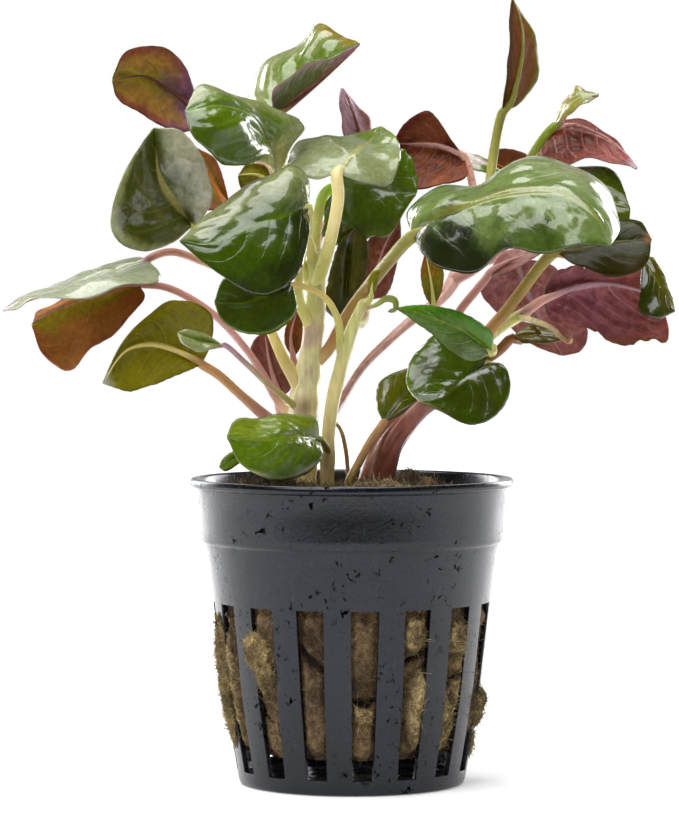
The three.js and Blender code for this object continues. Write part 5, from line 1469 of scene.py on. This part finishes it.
# A tuft's body: rings from the middle of its dome out to a ragged edge, and back along the wall
def tuftBody(tuft):
    centre, level, wide, tall = tuft[:4]
    outwards, back = np.linspace(0.05, 1, 16), np.linspace(0.95, 0.1, 6)
    reach = np.concatenate([outwards, back])[:, None]
    way = np.arange(wool["tuftTurns"]) / wool["tuftTurns"] * 2 * np.pi
    edge = polar(2, way, level)
    rag = 0.88 + 0.2 * noise(edge, 0.7) + 0.1 * noise(edge, 2.5)
    turn = np.radians(centre - wide * reach * np.cos(way) * rag)
    height = level + tall * reach * np.sin(way) * rag
    radius = tuftRadius(tuft, turn, height)
    radius[len(outwards):] = wallRadius(height[len(outwards):]) + 0.04
    rings = polar(radius, turn, height)
    points = np.vstack([rings.reshape(-1, 3), rings[0].mean(0), rings[-1].mean(0)])
    values = {"tuft": np.full(len(points), 0.75)}
    return {"points": points, "faces": ringFaces(len(reach), wool["tuftTurns"]), "values": values}


# The three places where fibres lie. Each gives the fibres' middle lines, made from how far they run
# on, climb and lift off, and the lowest value and the span of values that shade them.
def fibresOnTop(rng, draw, run, climb, lift):
    away, turn = np.sqrt(draw(0.0, 1.0)) * wool["topReach"][0], draw(0, 2 * np.pi)
    x = away * np.cos(turn) + run
    y = away * np.sin(turn) + climb
    reach = np.minimum(np.hypot(x, y), wool["topReach"][1])
    turn = np.arctan2(y, x)
    return polar(reach, turn, woolTop(turn, reach) + lift * wool["topLift"]), 0, 1


def fibresOnTufts(rng, draw, run, climb, lift):
    tufts = np.array(wool["tufts"])
    sizes = tufts[:, 2] * tufts[:, 3]
    chosen = tufts[rng.choice(len(sizes), len(run), p=sizes / sizes.sum())]
    away, way = np.sqrt(draw(0.0, 1.05)), draw(0, 2 * np.pi)
    turn = np.radians(chosen[:, :1] + away * np.cos(way) * chosen[:, 2:3]) + (run - run[:, 1:2]) / 23
    height = chosen[:, 1:2] + away * np.sin(way) * chosen[:, 3:4] + climb - climb[:, 1:2]
    return polar(tuftRadius(chosen.T[:, :, None], turn, height) + lift, turn, height), 0.5, 0.5


# A third of the fibres at the side stand thicker on the clumps. Behind the ribs they are held in.
def fibresOnSide(rng, draw, run, climb, lift):
    start, level = draw(0, 2 * np.pi), draw(wool["bottom"] + 0.5, 32)
    chosen = clumps[rng.integers(0, len(clumps), len(run))]
    spread = rng.normal(0, 0.55, (len(run), 2))
    tufted = np.arange(len(run))[:, None] % 3 == 0
    start = np.where(tufted, np.radians(chosen[:, :1] + spread[:, :1] * chosen[:, 2:3]), start)
    level = np.where(tufted, chosen[:, 1:2] + spread[:, 1:] * chosen[:, 3:4], level)
    height = np.clip(level + climb, wool["bottom"] + 0.3, wool["fibreTop"])
    turn = start + run / 20
    held = (fromSlot(turn) > slotHalf(height, 21) * 0.85) | (height < 3) | (height > 29.4)
    radius = woolRadius(turn, height) + lift * np.where(tufted, 2.4, 0.9)
    inside = wallRadius(height) - pot["wall"] - 0.1
    return polar(np.where(held, np.minimum(radius, inside), radius), turn, height), 0.3 * tufted[:, 0], 0.7


# Fibres: thin three-sided forms that wander over the plug and lift off it towards their ends. The
# lift is lift * s ** 2 at the part s of a fibre, and its thickness sin(pi * (0.12 + 0.76 * s)).
def woolFibres(count, seed, placed):
    rng = np.random.default_rng(seed)
    draw = lambda low, high: rng.uniform(low, high, (count, 1))
    steps, sides = wool["fibreSteps"], wool["fibreSides"]
    s = np.linspace(0, 1, steps)[None]
    length = draw(*wool["fibreLength"])
    way = draw(0, 2 * np.pi) + draw(-0.7, 0.7) * s
    run = np.cumsum(np.cos(way), 1) / steps * length
    climb = np.cumsum(np.sin(way), 1) / steps * length
    lift = draw(0.0, 1.0) ** 4 * s ** 2 * wool["fibreLift"] + 0.02
    centre, low, span = placed(rng, draw, run, climb, lift)

    heading = unit(np.gradient(centre, axis=1))
    upwards = 20.0 if placed is fibresOnTop else 0.0
    out = unit(np.stack([centre[..., 0], centre[..., 1], np.full((count, steps), upwards)], -1))
    side = unit(np.cross(heading, out))
    thick = draw(*wool["fibreWidth"])[..., None] / 2 * np.sin(np.pi * (0.12 + 0.76 * s))[..., None]
    angle = (np.arange(sides) / sides * 2 * np.pi)[:, None]
    ring = np.cos(angle) * side[:, :, None] + np.sin(angle) * out[:, :, None]
    points = centre[:, :, None] + ring * thick[:, :, None]
    index = np.arange(count * steps * sides).reshape(count, steps, sides)
    turned = np.roll(index, -1, 2)
    faces = np.stack([index[:, :-1], turned[:, :-1], turned[:, 1:], index[:, 1:]], -1).reshape(-1, 4)
    caps = np.stack([index[:, 0, ::-1], index[:, -1]], 1).reshape(-1, 3)
    faces = np.vstack([faces, np.column_stack([caps, caps[:, 2]])])
    values = np.repeat(rng.random(count) * span + low, steps * sides)
    return {"points": points.reshape(-1, 3), "faces": faces, "values": {"tuft": values}}


# The wool's shades, from dark to pale where there are two; crack is painted shade in the cracks.
# The top is darker between two heights: damp wool with painted shade among the stems' feet.
# Patches, strands and coarse are the scales of noises, the last two with the range they shade by.
woolLook = {
    "body": ("#493929", "#776146"), "clump": "#b09a6c", "crack": "#1c140d",
    "fibre": ("#5f4d36", "#c4ad78"), "fibreDark": "#55432f", "damp": "#2c2117", "dampAndShadeFrom": 43,
    "dampAndShadeTo": 47, "patches": 130.0, "strands": 1500.0, "strandShade": (0.5, 1.45),
    "coarse": 520.0, "coarseShade": (0.68, 1.25), "roughness": 0.9, "shine": 0.25, "relief": 0.4,
}


def woolMaterial(name, onFibres):
    material, tree, place, shader = newMaterial(name)
    patch = speckle(tree, place, woolLook["patches"], 4.0, 0.6)
    tuft = put(tree, "ShaderNodeAttribute", attribute_name="tuft").outputs["Fac"]
    low, high = (tone(s) for s in woolLook["fibre" if onFibres else "body"])
    if onFibres:
        colour = blend(tree, rise(tree, tuft, 0.3, 1.0), low, high)
        colour = blend(tree, rise(tree, patch, 0.5, 0.35, 0.0, 0.6), colour, tone(woolLook["fibreDark"]))
    else:
        colour = blend(tree, rise(tree, patch, 0.36, 0.66), low, high)
        colour = blend(tree, rise(tree, tuft, 0.0, 1.0, 0.0, 0.75), colour, tone(woolLook["clump"]))
        # painted shade in the cracks
        colour = blend(tree, rise(tree, tuft, 0.0, -1.0, 0.0, 0.8), colour, tone(woolLook["crack"]))
    # darker at the top, among the feet of the stems: damp wool and painted shade in the gaps between them
    high = put(tree, "ShaderNodeSeparateXYZ", {0: place}).outputs["Z"]
    high = rise(tree, high, woolLook["dampAndShadeFrom"] * mm, woolLook["dampAndShadeTo"] * mm)
    damp = times(tree, high, rise(tree, patch, 0.62, 0.42))
    colour = blend(tree, times(tree, damp, 0.7), colour, tone(woolLook["damp"]))
    strands = speckle(tree, place, woolLook["strands"], 4.0, 0.75, 1.6)
    coarse = speckle(tree, place, woolLook["coarse"], 3.0, 0.65, 0.8)
    coarse = rise(tree, coarse, 0.35, 0.65, *woolLook["coarseShade"])
    lightened = rise(tree, strands, 0.32, 0.7, *woolLook["strandShade"])
    colour = shaded(tree, colour, times(tree, lightened, coarse))
    tree.links.new(colour, shader.inputs["Base Color"])
    shader.inputs["Roughness"].default_value = woolLook["roughness"]
    shader.inputs["Specular IOR Level"].default_value = woolLook["shine"]
    roughen(tree, shader, strands, 0.8, woolLook["relief"])
    return material


def makeWool():
    plug = makePiece("rockwoolPlug", *woolSurface())
    plug.data.materials.append(woolMaterial("rockwoolBody", False))
    fibres = woolMaterial("rockwoolFibre", True)
    made = [plug]
    sets = (("rockwoolFibres", "fibres", fibresOnSide), ("rockwoolTopFibres", "topFibres", fibresOnTop),
            ("rockwoolTufts", "tuftFibres", fibresOnTufts))
    for seed, (name, count, placed) in enumerate(sets, 3):
        forms = [woolFibres(wool[count], seed, placed)]
        if placed is fibresOnTufts:
            forms += [tuftBody(tuft) for tuft in wool["tufts"]]
        made.append(makePiece(name, *joined(forms)))
        made[-1].data.materials.append(fibres)
    for piece in made:
        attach(piece, "root")
        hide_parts("rockwool")


makeWool()
print("wool made")


# Floor, light and camera. The floor is given from side to side and back, lies a little below the
# pot, and glows from near to far. The room's light has strengths on the camera's side, at the
# horizon and above. Back is where the camera's side passes into the horizon, and high where the
# horizon passes into the ceiling, as parts of a direction.
stage = {
    "floor": (-900, 900, -200, 1400), "lines": 15, "below": 0.02, "thickness": 1,
    "floorShade": "#e4e4e4", "floorRough": 0.75, "near": 20, "far": 300, "glow": (0.25, 1.0),
    "front": 0.115, "horizon": 1.0, "ceiling": 0.04, "back": (-0.5, 0.25), "high": (0.12, 0.5),
    "turned": 0.4, "aimHeight": 61.1, "lens": 171.8, "sensor": 36, "farthest": 20,
}

# Each lamp's place, what it points at, its two sides in metres and its power
lamps = {
    "topSoftbox": ((-0.1, -0.05, 0.9), (0, 0, 0.08), (1.0, 0.9), 15),
    "frontSoftbox": ((-0.55, -0.75, 0.8), (0, 0, 0.07), (0.7, 0.6), 7),
    "leftSoftbox": ((-0.5, 0.62, 0.24), (0, 0, 0.06), (0.35, 0.5), 4.5),
    "rightSoftbox": ((0.5, 0.62, 0.24), (0, 0, 0.06), (0.35, 0.5), 4.5),
}


# A sheet of white plastic, lit from beneath away from the pot: a grid with a wall round its edge
def makeFloor():
    x0, x1, y0, y1 = stage["floor"]
    lines = stage["lines"]
    x, y = np.meshgrid(np.linspace(x0, x1, lines), np.linspace(y0, y1, lines))
    top = np.stack([x, y, 0 * x - stage["below"]], -1).reshape(-1, 3)
    index = np.arange(len(top)).reshape(lines, lines)
    upper = np.stack([index[:-1, :-1], index[:-1, 1:], index[1:, 1:], index[1:, :-1]], -1).reshape(-1, 4)
    edge = np.concatenate([index[0], index[1:, -1], index[-1, -2::-1], index[-2:0:-1, 0]])
    after = np.roll(edge, -1)
    sides = np.stack([edge + len(top), after + len(top), after, edge], -1)
    faces = np.vstack([upper, upper[:, ::-1] + len(top), sides])
    bottom = top - [0, 0, stage["thickness"]]
    floor = makePiece("floor", np.vstack([top, bottom]), faces, smoothed=False)
    material, tree, place, shader = newMaterial("floorSheet")
    shader.inputs["Base Color"].default_value = tone(stage["floorShade"])
    shader.inputs["Roughness"].default_value = stage["floorRough"]
    away = put(tree, "ShaderNodeVectorMath", {0: place}, operation="LENGTH").outputs["Value"]
    lit = rise(tree, away, stage["near"] * mm, stage["far"] * mm, *stage["glow"])
    shader.inputs["Emission Color"].default_value = (1, 1, 1, 1)
    tree.links.new(lit, shader.inputs["Emission Strength"])
    floor.data.materials.append(material)


# The room's light: white walls at the sides and the back, and little above or on the camera's side
def makeWorld():
    world = bpy.data.worlds.new("studio")
    world.use_nodes = True
    tree = world.node_tree
    tree.nodes.clear()
    way = put(tree, "ShaderNodeTexCoord").outputs["Generated"]
    parts = put(tree, "ShaderNodeSeparateXYZ", {0: way}).outputs
    toBack = plus(tree, parts["Y"], times(tree, parts["X"], stage["turned"]))
    wall = rise(tree, toBack, *stage["back"], stage["front"], stage["horizon"])
    high = rise(tree, parts["Z"], *stage["high"])
    strength = blendNumber(tree, high, wall, stage["ceiling"])
    seenLight = put(tree, "ShaderNodeLightPath").outputs["Is Camera Ray"]
    strength = blendNumber(tree, seenLight, strength, 1.0)
    light = put(tree, "ShaderNodeBackground", {"Color": (1, 1, 1, 1), "Strength": strength})
    put(tree, "ShaderNodeOutputWorld", {"Surface": light.outputs[0]})
    bpy.context.scene.world = world


# Puts a lamp or a camera at its place and turns it to look at its target
def aimed(name, data, place, target):
    made = bpy.data.objects.new(name, data)
    made.location = place
    made.rotation_euler = (Vector(target) - made.location).to_track_quat("-Z", "Y").to_euler()
    bpy.context.scene.collection.objects.link(made)
    return made


def makeLamps():
    for name, (place, target, size, power) in lamps.items():
        data = bpy.data.lights.new(name, "AREA")
        data.shape = "RECTANGLE"
        data.size, data.size_y = size
        data.energy = power
        aimed(name, data, place, target)


def makeCamera():
    data = bpy.data.cameras.new("camera")
    data.sensor_width = stage["sensor"]
    data.lens = stage["lens"]
    data.clip_end = stage["farthest"]
    place = (eye["across"] * mm, -eye["distance"] * mm, eye["up"] * mm)
    target = (eye["across"] * mm, 0, stage["aimHeight"] * mm)
    bpy.context.scene.camera = aimed("camera", data, place, target)


makeFloor()
makeWorld()
makeLamps()
makeCamera()
bpy.context.scene.view_settings.view_transform = "Standard"

print("scene made")
